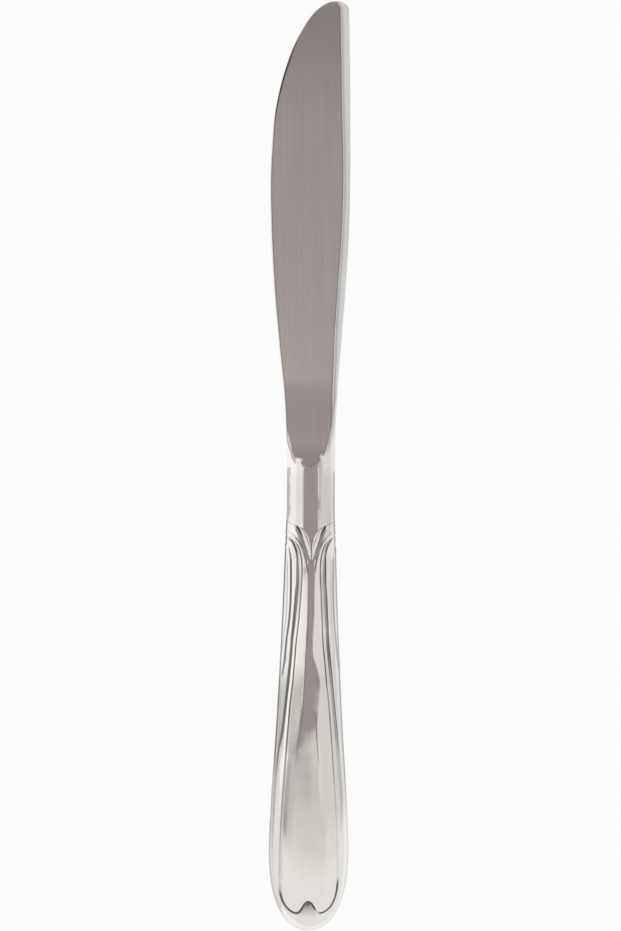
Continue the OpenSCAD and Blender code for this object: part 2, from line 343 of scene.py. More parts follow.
def endSurface(bench, look, colour, rough, height, metallic=1.0):
    normal = bench.wire("ShaderNodeBump", {}, {**look["bump"], "Height": height})
    endMaterial(bench, bench.wire("ShaderNodeBsdfPrincipled", {}, {
        "Base Color": colour, "Metallic": metallic, "Roughness": rough, "Normal": normal}))


def mark(bench, key):
    # a value that the mesh carries on its points
    return bench.wire("ShaderNodeAttribute", {"attribute_name": key}, {}, 2)


def pattern(bench, scale, detail=3.0, rough=0.6, size=1.0):
    # noise on Object coordinates, scaled across, along and in height
    place = bench.wire("ShaderNodeTexCoord", {}, {}, 3)
    place = bench.wire("ShaderNodeMapping", {}, {0: place, 3: scale})
    return bench.wire("ShaderNodeTexNoise", {}, {"Vector": place, "Scale": size, "Detail": detail,
                                                 "Roughness": rough})


polishLook = {
    "colour": (0.93, 0.915, 0.90, 1.0), "dull": (0.80, 0.785, 0.77, 1.0),
    "tarnishAndPaintedShade": (0.10, 0.095, 0.09, 1.0), "paintedDulling": (0.50, 0.485, 0.475, 1.0),
    "roughLow": 0.05, "roughHigh": 0.11, "shadeAndTarnishRough": 0.2, "paintedDullingRough": 0.06,
    "waveLength": 9.0, "waveWidth": 0.9, "waveDepth": 0.35, "hairDepth": 0.05,
    # least and patchy share of the tarnish and painted shade, and of the painted darker reflection with its
    # specks
    "shadeAndTarnishShares": (0.75, 0.5), "paintedDullingShares": (0.2, 0.8, 0.8), "dullShare": 0.5,
    # scales of the patterns: across, along and in height
    "hairs": (9000.0, 160.0, 4000.0), "wear": (260.0, 60.0, 260.0), "specks": (2200.0, 1100.0, 300.0),
    "bump": {"Strength": 0.12, "Distance": 0.0001},
}


def polishedSteel():
    # mirror polish with the faint long waves and hairlines that the buffing wheel leaves
    look = polishLook
    material, bench = newMaterial("polishedSteel")
    waveScale = (1 / look["waveWidth"] / mm, 1 / look["waveLength"] / mm, 300.0)
    waves = pattern(bench, waveScale, 2.0, 0.5, 0.5)
    hairs = pattern(bench, look["hairs"], 2.0)
    wear = pattern(bench, look["wear"])
    rough = look["roughLow"] + (look["roughHigh"] - look["roughLow"]) * wear.ramp(0.4, 0.75)
    # near black where this mark is high: painted shade and painted reflection along grooves, seam and keel,
    # partly tarnish in the hollows
    shade = mark(bench, "grooveShade")
    least, patchy = look["shadeAndTarnishShares"]
    shadedAndTarnished = shade * (least + patchy * wear)
    colour = bench.blend(wear.ramp(0.45, 0.8) * look["dullShare"], look["colour"], look["dull"])
    # grey patches of painted darker reflection, laid on as duller polish with specks
    paintedDulling = mark(bench, "polishHaze")
    specks = pattern(bench, look["specks"], 3.0, 0.7)
    least, patchy, speckled = look["paintedDullingShares"]
    paintedDulled = paintedDulling * (least + patchy * wear + speckled * specks)
    colour = bench.blend(paintedDulled.atMost(1.0), colour, look["paintedDulling"])
    colour = bench.blend(shadedAndTarnished.atMost(1.0), colour, look["tarnishAndPaintedShade"])
    rough = rough + look["shadeAndTarnishRough"] * shade + look["paintedDullingRough"] * paintedDulling
    endSurface(bench, look, colour, rough, waves * look["waveDepth"] + hairs * look["hairDepth"])
    return material


bladeLook = {
    "ground": (0.82, 0.78, 0.77, 1.0), "groundDark": (0.74, 0.705, 0.695, 1.0),
    "polished": (0.93, 0.915, 0.90, 1.0), "spine": (0.79, 0.815, 0.82, 1.0),
    # near black for the painted crease shade, and grey for the painted darker reflection on the spine's strip
    "line": (0.03, 0.028, 0.028, 1.0), "stripPaintedReflection": (0.41, 0.395, 0.39, 1.0),
    "groundRough": 0.27, "groundRoughSwing": 0.08, "polishedRough": 0.07, "polishedStreaks": 0.04,
    # scales of the patterns: across, along and in height
    "streaks": (2600.0, 28.0, 60.0), "hairs": (9000.0, 90.0, 90.0), "clouds": (140.0, 30.0, 30.0),
    "bump": {"Strength": 0.12, "Distance": 0.00004},
}


def bladeSteel():
    # satin flats, ground lengthwise, between polished spine, bevel and bolster
    look = bladeLook
    material, bench = newMaterial("bladeSteel")
    ground, line = mark(bench, "ground"), mark(bench, "edgeLine")
    spine, strip = mark(bench, "spineStrip"), mark(bench, "stripHaze")
    streaks = pattern(bench, look["streaks"])
    hairs = pattern(bench, look["hairs"], 2.0)
    clouds = pattern(bench, look["clouds"], 2.0, 0.5)
    tone = (streaks * 0.4 + hairs * 0.2 + clouds * 0.7).ramp(0.25, 1.05, "LINEAR")
    satin = bench.blend(tone, look["groundDark"], look["ground"])
    polished = bench.blend(spine, look["polished"], look["spine"])
    # painted shade in the creases, near black
    colour = bench.blend(line, bench.blend(ground, polished, satin), look["line"])
    # painted darker reflection on the spine's strip, the tip, the tongue and the bolster
    colour = bench.blend(strip * (0.6 + 0.8 * streaks), colour, look["stripPaintedReflection"])
    satinRough = look["groundRough"] + (streaks - 0.5) * look["groundRoughSwing"]
    rough = look["polishedRough"] + (satinRough - look["polishedRough"]) * ground
    height = (streaks * 0.5 + hairs * 0.5) * ground + streaks * look["polishedStreaks"]
    endSurface(bench, look, colour, rough, height)
    return material


brazeLook = {
    "low": (0.62, 0.45, 0.22, 1.0), "high": (0.82, 0.68, 0.42, 1.0), "flow": (900.0, 300.0, 900.0),
    "rough": 0.3, "roughSwing": 0.2, "bump": {"Strength": 0.4, "Distance": 0.0002},
}


def brazeBrass():
    # brass braze that has run along the seam
    look = brazeLook
    material, bench = newMaterial("brazeBrass")
    flow = pattern(bench, look["flow"])
    colour = bench.blend(flow.ramp(0.35, 0.7), look["low"], look["high"])
    endSurface(bench, look, colour, look["rough"] + flow * look["roughSwing"], flow)
    return material


cementLook = {
    "low": (0.24, 0.23, 0.215, 1.0), "high": (0.42, 0.40, 0.375, 1.0), "grit": (2500.0, 2500.0, 2500.0),
    "patches": (220.0, 220.0, 220.0), "rough": 0.85, "bump": {"Strength": 0.6, "Distance": 0.0003},
}


def handleCement():
    # cast filling, grey and gritty
    look = cementLook
    material, bench = newMaterial("handleCement")
    grit = pattern(bench, look["grit"], 4.0, 0.7)
    patches = pattern(bench, look["patches"], 2.0, 0.5)
    shade = (grit * 0.5 + patches * 0.5).ramp(0.3, 0.7)
    colour = bench.blend(shade, look["low"], look["high"])
    endSurface(bench, look, colour, look["rough"], grit, 0.0)
    return material


# Handle shells, struck from sheet: the plain form in mesh code, the struck threads by a tree

shell = {
    "length": 114.5, "neckLength": 8.0, "buttLength": 20.0, "neckWidth": 11.9, "neckThick": 8.0,
    "width": 19.8, "thick": 10.4, "wall": 0.8,
    "buttMid": 0.5, "buttCrown": 0.94, "neckPower": 2.1, "bellyPower": 2.35, "buttPower": 2.3,
    "flare": [[0, 0], [0.17, 0.11], [0.41, 0.32], [0.65, 0.59], [0.87, 0.89], [1, 1]],
    "crown": [[0, 0], [0.2, 0.12], [0.45, 0.38], [0.7, 0.78], [0.9, 0.98], [1, 1]],
    # rows (from, to, count) down to where the butt begins, its rows, and columns from the middle to the side
    "mouthRows": [0, 0.04, 0.1, 0.2, 0.35], "neckRows": [(0.6, 12, 20), (12, 24, 121)],
    "bodyRows": (24, 132), "buttRows": 120, "half": 88, "innerHalf": 12,
    "mouthRound": 0.04, "mouthRoundLength": 0.2, "seamStep": 0.005,
    # keel: how steeply the panel falls to either side, by the distance from the mouth
    "keelLeft": [[0, 0], [17, 0], [23, 0.26], [36, 0.255], [42.2, 0.205], [45.2, 0.165], [48.2, 0.14],
                 [50, 0.13], [56, 0.108], [62, 0.063], [66, 0.036], [70, 0.01], [75, 0], [200, 0]],
    "keelRight": [[0, 0], [17, 0], [23, 0.215], [36, 0.215], [42.2, 0.245], [45.2, 0.22], [49.5, 0.08],
                  [53.5, 0.022], [57.5, 0.05], [62, 0.085], [70, 0.095], [80, 0.08], [92, 0.045],
                  [106, 0], [200, 0]],
    "keelRound": [[0, 1.1], [38, 1.1], [44, 0.9], [49, 0.8], [200, 0.8]], "keelReach": 3.2,
    "keelRise": [[0, 0], [19, 0], [30, 0.2], [61.5, 0.2], [64, 0.19], [67, 0.153], [71.2, 0.088], [76, 0.035],
                 [81, 0.006], [85, 0], [200, 0]],
    # on the left the wide thread runs further out; the outer one stands to the right, less so on the left
    "wideAside": [[0, 0], [64, 0], [66, -0.12], [69, -0.46], [72, -0.6], [87, -0.6], [93, -0.8], [200, -0.8]],
    "outerAside": (0.22, 0.5),
    # the struck pattern stands a trace to one side near the mouth
    "shift": [[0, 0], [10, 0], [16, 0.25], [30, 0.25], [38, 0.13], [43, -0.08], [50, 0], [200, 0]],
    # how strongly each thread draws the columns, and its reach; the wide one's left line only further down
    "drawn": (("fine", 2.2, 0.45), ("wide", 2.4, 0.6), ("outer", 1.5, 0.4)), "asideDrawn": (2.0, 0.45),
    "asideFrom": (60, 6), "plainDraw": 0.6, "sideDraw": 0.4, "trials": 150,
    "columnsSwing": (12, 10), "steepest": 1.15,
}
# Lines of the threads: across from the axis, down from the mouth
threadPaths = {
    "rim": [[9.0, 12.4], [7.0, 13.0], [5.9, 13.3], [4.46, 14.0], [3.29, 14.5], [2.23, 15.1], [1.35, 16.1],
            [0.75, 17.2], [0.25, 18.6], [0.06, 20.0], [0.0, 21.6]],
    "vee": [[3.3, 14.6], [2.75, 15.6], [2.2, 16.9], [1.72, 18.3], [1.2, 19.9], [0.7, 21.4], [0.15, 23.2]],
    "band": [[9.5, 14.6], [7.5, 15.2], [5.9, 15.75], [4.78, 16.3], [3.65, 17.3], [2.8, 18.55], [2.1, 20.1],
             [1.6, 21.6], [1.2, 23.0], [0.95, 25.0], [0.82, 28.2], [0.78, 35.0], [0.8, 45.0]],
    "fine": [[4.9, 17.5], [4.2, 18.0], [3.48, 18.8], [2.87, 20.0], [2.47, 21.5], [2.26, 23.0], [2.17, 25.0],
             [2.27, 28.2], [2.44, 30.9], [2.7, 35.5], [2.95, 39.0], [3.25, 42.7], [4.12, 52.6], [4.70, 57.6],
             [5.12, 62.5], [5.52, 67.5], [5.85, 72.4], [6.2, 77.4], [6.55, 82.3], [6.83, 87.3], [7.05, 92.2],
             [7.18, 97.2], [7.2, 100.0], [7.15, 102.0], [7.0, 104.0], [6.75, 105.4], [6.45, 106.4],
             [6.1, 107.25], [5.7, 107.95], [5.25, 108.55], [4.7, 109.08], [4.1, 109.5], [3.5, 109.76],
             [2.95, 109.85], [2.4, 109.65], [1.9, 109.1], [1.45, 108.4], [0.9, 107.55], [0.45, 107.15],
             [0.0, 107.0]],
    "wide": [[9.5, 15.8], [7.5, 16.5], [6.1, 17.0], [5.1, 17.7], [4.4, 18.6], [3.85, 19.9], [3.5, 21.3],
             [3.3, 23.5], [3.26, 28.2], [3.47, 30.9], [3.9, 37.0], [4.37, 42.7], [5.27, 52.6], [5.79, 57.6],
             [6.32, 62.5], [6.82, 67.5], [7.25, 72.4], [7.67, 77.4], [7.97, 82.3], [8.10, 87.3], [8.15, 93.0],
             [8.0, 99.0]],
    "outer": [[9.5, 17.6], [7.5, 18.2], [6.07, 19.1], [5.5, 20.6], [5.12, 22.6], [5.05, 28.0], [5.12, 32.8],
              [5.4, 37.8], [5.95, 42.7], [6.45, 47.7], [7.0, 51.4], [7.9, 56.0], [9.5, 61.0]],
}
# Left side of the dark strip along the keel: across, by the distance from the mouth
keelBorder = [[27, -0.55], [36, -0.52], [39, -0.7], [42, -0.74], [45, -0.94], [48, -1.15], [51, -1.23],
              [54, -1.39], [57, -1.6], [60, -1.75], [63, -2.07], [66, -2.35]]
# Sizes of the struck relief
struck = {
    "Rim Height": 0.2, "Vee Depth": 0.34, "Vee Side": 0.95, "Band Height": 0.16, "Fine Width": 0.15,
    "Fine Fall": 0.5, "Wide Width": 0.43, "Wide Fall": 0.34, "Wide Narrow": 0.22, "Outer Width": 0.19,
    "Outer Fall": 0.5, "Butt Depth": 0.42, "Butt Side": 1.9, "Lip Height": 0.06,
}


def handleRows():
    widest = shell["length"] - shell["buttLength"]
    start, count = shell["bodyRows"]
    places = np.concatenate([shell["mouthRows"], *(np.linspace(*span)[:-1] for span in shell["neckRows"]),
                             np.linspace(start, widest, count)])
    turns = np.linspace(0, 90, shell["buttRows"] + 1)[1:]
    place = np.concatenate([places, np.full(len(turns), widest)])
    turn = np.concatenate([np.zeros(len(places)), turns])
    return place, turn


def handleWidths(place):
    widest = shell["length"] - shell["buttLength"]
    body = clip((place - shell["neckLength"]) / (widest - shell["neckLength"]))
    half = mix(shell["neckWidth"], shell["width"], smooth(shell["flare"], body)) / 2
    height = mix(shell["neckThick"], shell["thick"], smooth(shell["crown"], body)) / 2
    return half, height, mix(shell["neckPower"], shell["bellyPower"], ease(body))


def handlePoint(place, turn, share, draw=0.0):
    # plan and height of the plain form, drawn in by a wall
    half, height, power = handleWidths(place)
    spin = np.radians(turn)
    butt = shell["buttLength"]
    footX = (half - draw) * np.maximum(0, np.cos(spin)) ** (2 / shell["buttPower"])
    footY = -place - (butt - draw) * np.sin(spin) ** (2 / shell["buttPower"])
    headY = -place - shell["buttMid"] * butt * np.sin(spin)
    x = footX * share
    y = headY + (footY - headY) * np.abs(share)
    top = height * mix(shell["buttCrown"], 1.0, np.cos(spin)) - draw
    z = top * arch(share, power)
    return x, y, z


def threadPlan(x, y, shares, extra=0.0):
    # places as the threads' lines are given: across from the pattern's middle, down from the mouth
    lean = smooth(shell["shift"], -y) * (1 - shares ** 2) + extra
    return np.stack([np.abs(x - lean).ravel(), -y.ravel()], 1)


def columnShares(place, turn):
    # columns stand close together along the threads and towards the shell's side
    trial = 1 - (1 - np.linspace(0, 1, shell["trials"])) ** 1.5
    x, y, _ = handlePoint(place[:, None], turn[:, None], trial[None, :])
    level = np.zeros_like(x)
    plan = threadPlan(x, y, level)
    near = 0
    for key, weight, reach in shell["drawn"]:
        gap = signedDistance(plan, pathThrough(threadPaths[key], 4)).reshape(x.shape)
        near = near + weight * np.exp(-(gap / reach) ** 2)
    aside = threadPlan(x, y, level, -smooth(shell["wideAside"], -y))
    gap = signedDistance(aside, pathThrough(threadPaths["wide"], 4)).reshape(x.shape)
    weight, reach = shell["asideDrawn"]
    near = near + weight * np.exp(-(gap / reach) ** 2) * rise(place, *shell["asideFrom"])[:, None]
    density = shell["plainDraw"] + near + shell["sideDraw"] / np.sqrt(1.0006 - trial)[None, :]
    weight = (density[:, 1:] + density[:, :-1]) / 2 * np.diff(trial)[None, :]
    total = np.concatenate([np.zeros((len(place), 1)), np.cumsum(weight, 1)], 1)
    total /= total[:, -1:]
    for _ in range(3):
        total[1:-1] = (total[:-2] + 2 * total[1:-1] + total[2:]) / 4
    steps = np.linspace(0, 1, shell["half"] + 1)
    even = np.sin(steps * math.pi / 2)
    swing = rise(place, *shell["columnsSwing"])
    rows = [mix(even, np.interp(steps, total[i], trial), swing[i]) for i in range(len(place))]
    shares = np.array(rows)
    return np.concatenate([-shares[:, :0:-1], shares], 1)


def keelFall(x, y, half):
    # the panel falls to both sides of a round keel, and comes back to the plain form at the contour
    slope = np.where(x < 0, smooth(shell["keelLeft"], -y), smooth(shell["keelRight"], -y))
    lean = smooth(shell["shift"], -y)
    far = np.abs(x - lean)
    blunt = smooth(shell["keelRound"], -y)
    drop = np.sqrt(far * far + blunt * blunt) - blunt
    reach = shell["keelReach"]
    drop = reach - np.logaddexp(0, (reach - drop) * 3) / 3
    back = clip((np.abs(x) - reach) / np.maximum(half - reach, 0.1))
    return (smooth(shell["keelRise"], -y) - slope * drop) * (1 - ease(back))


def handleShell(name, side, material):
    place, turn = handleRows()
    rows = len(place)
    half, height, power = handleWidths(place)
    shares = columnShares(place, turn)
    cols = shares.shape[1]
    x, y, z = handlePoint(place[:, None], turn[:, None], shares)
    roundness = arch(shares, power[:, None])
    z = z + keelFall(x, y, half[:, None]) * np.minimum(1, 2 * roundness)
    # the mouth's edge is rounded over
    lip = shell["mouthRound"] * (1 - arch(clip(1 - place / shell["mouthRoundLength"]), 2))[:, None]
    x = x * (1 - lip / half[:, None])
    z = z * (1 - lip / height[:, None])
    z = softMin(z, shell["thick"] / 2 + shell["seamStep"], 2 * shell["seamStep"])
    z[:, [0, -1]] = 0
    grid = np.stack([x, y, np.maximum(z, 0)], 2)
    # outward directions, flat on the seam and across the axis at the butt's last rib
    padded = np.concatenate([grid[:, 1:2] * [1, 1, -1], grid, grid[:, -2:-1] * [1, 1, -1]], 1)
    across = padded[:, 2:] - padded[:, :-2]
    down = np.gradient(grid, axis=0)
    out = np.cross(across, down)
    out *= np.sign(out[:, :, 2].mean())
    out /= np.maximum(np.linalg.norm(out, axis=2, keepdims=True), 1e-9)
    out[:, [0, -1], 2] = 0
    out[-1, :, 0] = 0
    out[0, :, 1] = 0
    out /= np.maximum(np.linalg.norm(out, axis=2, keepdims=True), 1e-9)
    points = grid.reshape(-1, 3)
    plan = threadPlan(x, y, shares)
    asides = {"wide": np.where(x < 0, smooth(shell["wideAside"], -y), 0.0),
              "outer": np.where(x < 0, *shell["outerAside"])}
    numbers = {}
    for key, path in threadPaths.items():
        places = threadPlan(x, y, shares, asides[key]) if key in asides else plan
        numbers[key] = signedDistance(places, pathThrough(path, 6))
    numbers["rightHand"] = ease(x / 0.4 + 0.5).ravel()
    for key in ("fine", "wide", "outer"):
        numbers[key + "Lean"] = np.repeat(leanAt(key, place, x, z), cols)
    numbers.update({"run": -points[:, 1], "outward": out.reshape(-1, 3), "side": np.abs(shares).ravel()})
    numbers["half"] = np.repeat(half, cols)
    # painted shade with tarnish, and painted darker reflection, carried on the points for the material
    numbers["grooveShade"] = grooveShade(numbers, points[:, 0], points[:, 2])
    numbers["polishHaze"] = polishHaze(-points[:, 1], points[:, 0], numbers["half"], numbers["fine"])
    # inner wall, drawn in by the sheet's thickness
    innerShares = np.sin(np.linspace(-1, 1, 2 * shell["innerHalf"] + 1) * math.pi / 2)
    xi, yi, zi = handlePoint(place[:, None], turn[:, None], innerShares[None, :], shell["wall"])
    zi[:, [0, -1]] = 0
    inner = np.stack([xi, yi, zi], 2)
    innerCols = len(innerShares)
    inner = inner.reshape(-1, 3)
    start = len(points)
    faces = [tuple(f) for f in gridFaces(0, rows, cols)]
    faces += [tuple(reversed(f)) for f in gridFaces(start, rows, innerCols)]
    for outerCol, innerCol, way in ((0, 0, False), (cols - 1, innerCols - 1, True)):
        for i in range(rows - 1):
            a, b = i * cols + outerCol, (i + 1) * cols + outerCol
            c, d = start + i * innerCols + innerCol, start + (i + 1) * innerCols + innerCol
            faces.append((a, b, d, c) if way else (a, c, d, b))
    faces += zipLines(list(range(cols)), list(range(start, start + innerCols)))
    everything = np.vstack([points, inner])
    for key, values in numbers.items():
        away = 0.0 if key in ("outward", "grooveShade", "polishHaze") else 50.0  # far from every line
        rest = np.full((len(inner),) + values.shape[1:], away)
        numbers[key] = np.concatenate([values, rest])
    if side < 0:
        everything = everything * [1, 1, -1]
        numbers["outward"] = numbers["outward"] * [1, 1, -1]
    made = makeObject(name, everything, faces, numbers)
    applyTree(made, reliefTree(), struck, material)
    limit = shell["thick"] / 2 * mm
    points = np.zeros(len(made.data.vertices) * 3)
    made.data.vertices.foreach_get("co", points)
    points = points.reshape(-1, 3)
    points[:, 2] = np.clip(points[:, 2], knifePlace[2] - limit, knifePlace[2] + limit)
    made.data.vertices.foreach_set("co", points.ravel())
    for key in list(numbers):
        if key not in ("grooveShade", "polishHaze"):
            made.data.attributes.remove(made.data.attributes[key])
    weld(made)
    return made


def leanAt(key, place, x, z):
    # how steeply the plain form falls sideways at a thread's line, row by row
    line = np.array(threadPaths[key])
    keep = [k for k in range(len(line)) if k == 0 or line[k, 1] > line[:k, 1].max()]
    across = np.interp(place, line[keep, 1], line[keep, 0])
    middle = x.shape[1] // 2
    leans = []
    for i in range(len(place)):
        xs, zs = x[i, middle:], z[i, middle:]
        slope = -np.diff(zs) / np.maximum(np.diff(xs), 1e-6)
        leans.append(np.interp(min(across[i], 0.93 * xs[-1]), (xs[1:] + xs[:-1]) / 2, slope))
    leans = np.minimum(leans, shell["steepest"])
    return np.convolve(np.pad(leans, 4, mode="edge"), np.ones(9) / 9, mode="valid")


# Painted shade and tarnish of each line: how dark, how it lies beside the line (from, to, softness),
# where it starts (place, length) and where it fades (share, place, length), with the places down from the
# mouth
tarnishAndPaintedShade = {
    "fine": {"dark": 0.62, "beside": (-0.1, 0.08, 0.12), "start": (17.5, 1.5), "fades": [(0.4, 60, 12)],
             "thinner": (0.6, 78, 12), "thinnerEnd": 103},
    "outer": {"dark": 0.75, "right": 0.62, "beside": (-0.1, 0.1, 0.14), "start": (22, 1),
              "fades": [(1, 50.8, 1.2)]},
    "outerLeft": {"dark": 0.45, "beside": (0.76, 0.88, 0.12), "start": (22, 2), "fades": [(1, 44, 4)]},
    "outerRight": {"dark": 0.3, "beside": (-0.66, -0.54, 0.12), "start": (22, 2), "fades": [(1, 44, 4)]},
    "vee": {"dark": 1.0, "beside": (0.0, 0.28, 0.18), "start": (0, 1),
            "fades": [(0.75, 15, 3.2), (1, 22, 1.5)]},
    "band": {"dark": 0.4, "beside": (-0.12, 0.02, 0.12), "start": (15, 2), "fades": [(1, 42, 4)]},
    # the wide thread is dark over a share of its width, and over its outer side on the right
    "wide": {"dark": 0.75, "start": (17, 1.2), "end": 100, "core": (-0.8, 0.6, 0.16), "coreRight": 0.68,
             "side": (0.6, 0.95, 0.14), "sideRight": 1.15, "narrower": (0.2, 65, 6),
             "heavier": (0.5, 19.5, 3), "fadesLeft": [(0.5, 70, 8), (0.8, 86, 14)],
             "fadesRight": [(0.5, 64, 10), (1, 80, 14)],
             "width": [[18, 0.16], [22, 0.2], [26, 0.36], [33, 0.38], [39, 0.34], [44, 0.27], [56, 0.27],
                       [60, 0.32], [70, 0.36]]},
    "butt": {"dark": 0.9, "left": (-0.08, 0.38, 0.24), "startLeft": (103, 3), "right": (-0.06, 0.26, 0.2),
             "rightDark": 1.2, "startRight": (100.5, 2.5), "break": (2.3, 0.25, 0.6), "breakShare": 0.75,
             "breakFrom": 106, "under": 0.7, "underAlong": (105, 106.8, 5.0), "underAcross": (1.4, 1.8)},
    "rim": {"faint": 0.3, "faintAlong": (12.4, 13.0, 16.8, 17.8), "dark": 1.0,
            "along": (17.2, 18.2, 21.2, 22.2)},
    "seam": {"left": (0.92, 0.27), "fadeLeft": (68, 10), "right": (0.55, 0.2), "fadeRight": (74, 8),
             "beside": (0.12, 0.3, 0.16), "neckLess": (0.45, 12, 2)},
    # the neck's painted reflection band ends at an uneven height: waves by size, pace and start
    "neck": {"dark": 0.44, "height": 1.98, "waves": [(0.1, 1.4, 0), (0.08, 3.9, 1)], "end": (12, 1.2),
             "line": 0.32, "lineAt": (-1.93, 0.02, 0.13), "lineAlong": (0.3, 0.9, 13, 14)},
    "border": {"left": 0.7, "right": 0.3, "endLeft": 66, "endRight": 37, "start": (23, 3),
               "rightAt": [[24, 0.86], [33, 0.8], [38, 0.68], [42, 0.6]]},
    "split": {"dark": 0.85, "along": (60, 61.5, 68, 76),
              "at": [[60, 1.5], [61.3, 1.55], [66, 1.82], [70, 2.12], [73, 2.4], [77, 2.7]]},
}


def grooveShade(lines, across, height):
    # painted shade and painted reflection along grooves, seam and keel, partly tarnish in the hollows, 0 to 1
    run = lines["run"]
    left = across < 0
    fine, wide, rim = lines["fine"], lines["wide"], lines["rim"]

    def drawn(key, gap):
        look = tarnishAndPaintedShade[key]
        shade = look["dark"] * stripe(gap, *look["beside"])
        return shade * rise(run, *look["start"]) * faded(run, look["fades"])

    less, *lessAt = tarnishAndPaintedShade["fine"]["thinner"]
    thinner = 1 - less * rise(run, *lessAt) * (run < tarnishAndPaintedShade["fine"]["thinnerEnd"])
    layers = [drawn("fine", fine) * thinner, drawn("vee", lines["vee"]), drawn("band", lines["band"]),
              np.where(left, 1, tarnishAndPaintedShade["outer"]["right"]) * drawn("outer", lines["outer"]),
              np.where(left, drawn("outerLeft", lines["outer"]), drawn("outerRight", lines["outer"]))]
    look = tarnishAndPaintedShade["wide"]
    less, *lessAt = look["narrower"]
    width = between(run, look["width"])
    width = np.where(left, width - less * rise(run, *lessAt), width)
    low, high, soft = look["core"]
    full = np.where(left, 1, look["coreRight"]) * stripe(wide, width * low, width * high, soft)
    more, *moreAt = look["heavier"]
    full = full * (1 + more * fall(run, *moreAt))
    low, high, soft = look["side"]
    outerSide = np.where(left, 0, look["sideRight"]) * stripe(wide, width * low, width * high, soft)
    full = np.maximum(full, outerSide)
    fade = np.where(left, faded(run, look["fadesLeft"]), faded(run, look["fadesRight"]))
    layers.append(look["dark"] * full * rise(run, *look["start"]) * fade * (run < look["end"]))
    # painted shade round the butt, and a painted soft shadow under its notch
    look = tarnishAndPaintedShade["butt"]
    begin = np.where(left, rise(run, *look["startLeft"]), rise(run, *look["startRight"]))
    broken = 1 - look["breakShare"] * nearTo(across, *look["break"]) * (run > look["breakFrom"])
    right = look["rightDark"] * stripe(fine, *look["right"]) * broken
    layers.append(look["dark"] * np.where(left, stripe(fine, *look["left"]), right) * begin)
    begin, *end = look["underAlong"]
    under = rise(fine, 0.05, 0.2) * fall(run, *end) * nearTo(across, 0, *look["underAcross"])
    layers.append(look["under"] * under * (run > begin))
    # a faint painted shade line where the rim rises from the neck, and painted shade in the crease at its
    # point
    look = tarnishAndPaintedShade["rim"]
    layers.append(look["faint"] * nearTo(rim, 0.02, 0, 0.2) * patch(run, *look["faintAlong"]))
    layers.append(look["dark"] * nearTo(rim, 0, 0, 0.2) * patch(run, *look["along"]))
    # painted shade along the contour, and a painted reflection band on the neck's left
    look = tarnishAndPaintedShade["seam"]
    inside = np.maximum(0, 1 - lines["side"]) * lines["half"]
    seam = np.where(left, mix(*look["left"], rise(run, *look["fadeLeft"])),
                    mix(*look["right"], rise(run, *look["fadeRight"])))
    less, *lessAt = look["neckLess"]
    seam = seam * (1 - less * left * fall(run, *lessAt))
    layers.append(seam * stripe(inside, *look["beside"]) * rise(run, 0.5, 1))
    look = tarnishAndPaintedShade["neck"]
    uneven = look["height"]
    for size, pace, start in look["waves"]:
        uneven = uneven + size * np.sin(run * pace + start)
    layers.append(look["dark"] * left * fall(height, uneven, 0.3) * fall(run, *look["end"]))
    layers.append(look["line"] * nearTo(across, *look["lineAt"]) * patch(run, *look["lineAlong"]))
    # painted reflection: dark borders of the keel's strip, and a thin dark line on the right from its end
    look = tarnishAndPaintedShade["border"]
    beside = np.where(left, smooth(keelBorder, np.clip(run, 27, 66)) + 0.1, between(run, look["rightAt"]))
    border = np.where(left, look["left"], look["right"]) * nearTo(across, beside, 0.02, 0.15)
    end = np.where(left, look["endLeft"], look["endRight"])
    layers.append(border * rise(run, *look["start"]) * fall(run, end, 4))
    look = tarnishAndPaintedShade["split"]
    split = nearTo(across, between(run, look["at"]), 0.04, 0.17)
    layers.append(look["dark"] * split * patch(run, *look["along"]))
    return clip(np.maximum.reduce(layers))


# Painted darker reflection, laid on as duller polish: how strong, and where it comes and goes along the
# handle
paintedReflectionPatches = {
    # painted reflection patches on the neck's right, each with its reach across
    "neck": [(0.72, (-2, -1, 6.0, 7.8), (1.98, 2.13, 1.9, 3.4)),
             (0.9, (6.2, 8.2, 9.8, 11.2), (1.5, 1.8, 2.1, 3.1)),
             (0.4, (10.0, 11.2, 12.6, 14.0), (1.6, 1.9, 2.3, 3.2))],
    "neckLeft": (0.16, (0, 3, 13, 15)), "spot": (0.45, (24.2, 25.4, 26.5, 30.5)),
    "panel": (0.76, (47, 56, 68, 73)), "panelClear": (0.12, 0.24, 0.72, 0.88),
    "inner": (0.42, (69, 74, 89, 91.5)),
    # beside the contour on the left
    "outer": [[72, 0.7], [78, 0.5], [90, 0.42]], "outerAlong": (67, 71, 93, 103),
    "outerReach": [[74, 1.9], [80, 2.2], [90, 2.3]], "lowest": (0.42, (76, 88, 108, 118)),
    # the right hand from a line outwards
    "even": [[0, 0], [3, 0.3], [13, 0.3], [18, 0], [46, 0], [54, 0.2], [84, 0.2], [91, 0]],
    "evenFrom": [[0, 1.98], [18, 1.6], [46, 1.2], [60, 1.8], [72, 2.7], [90, 3.0]],
}


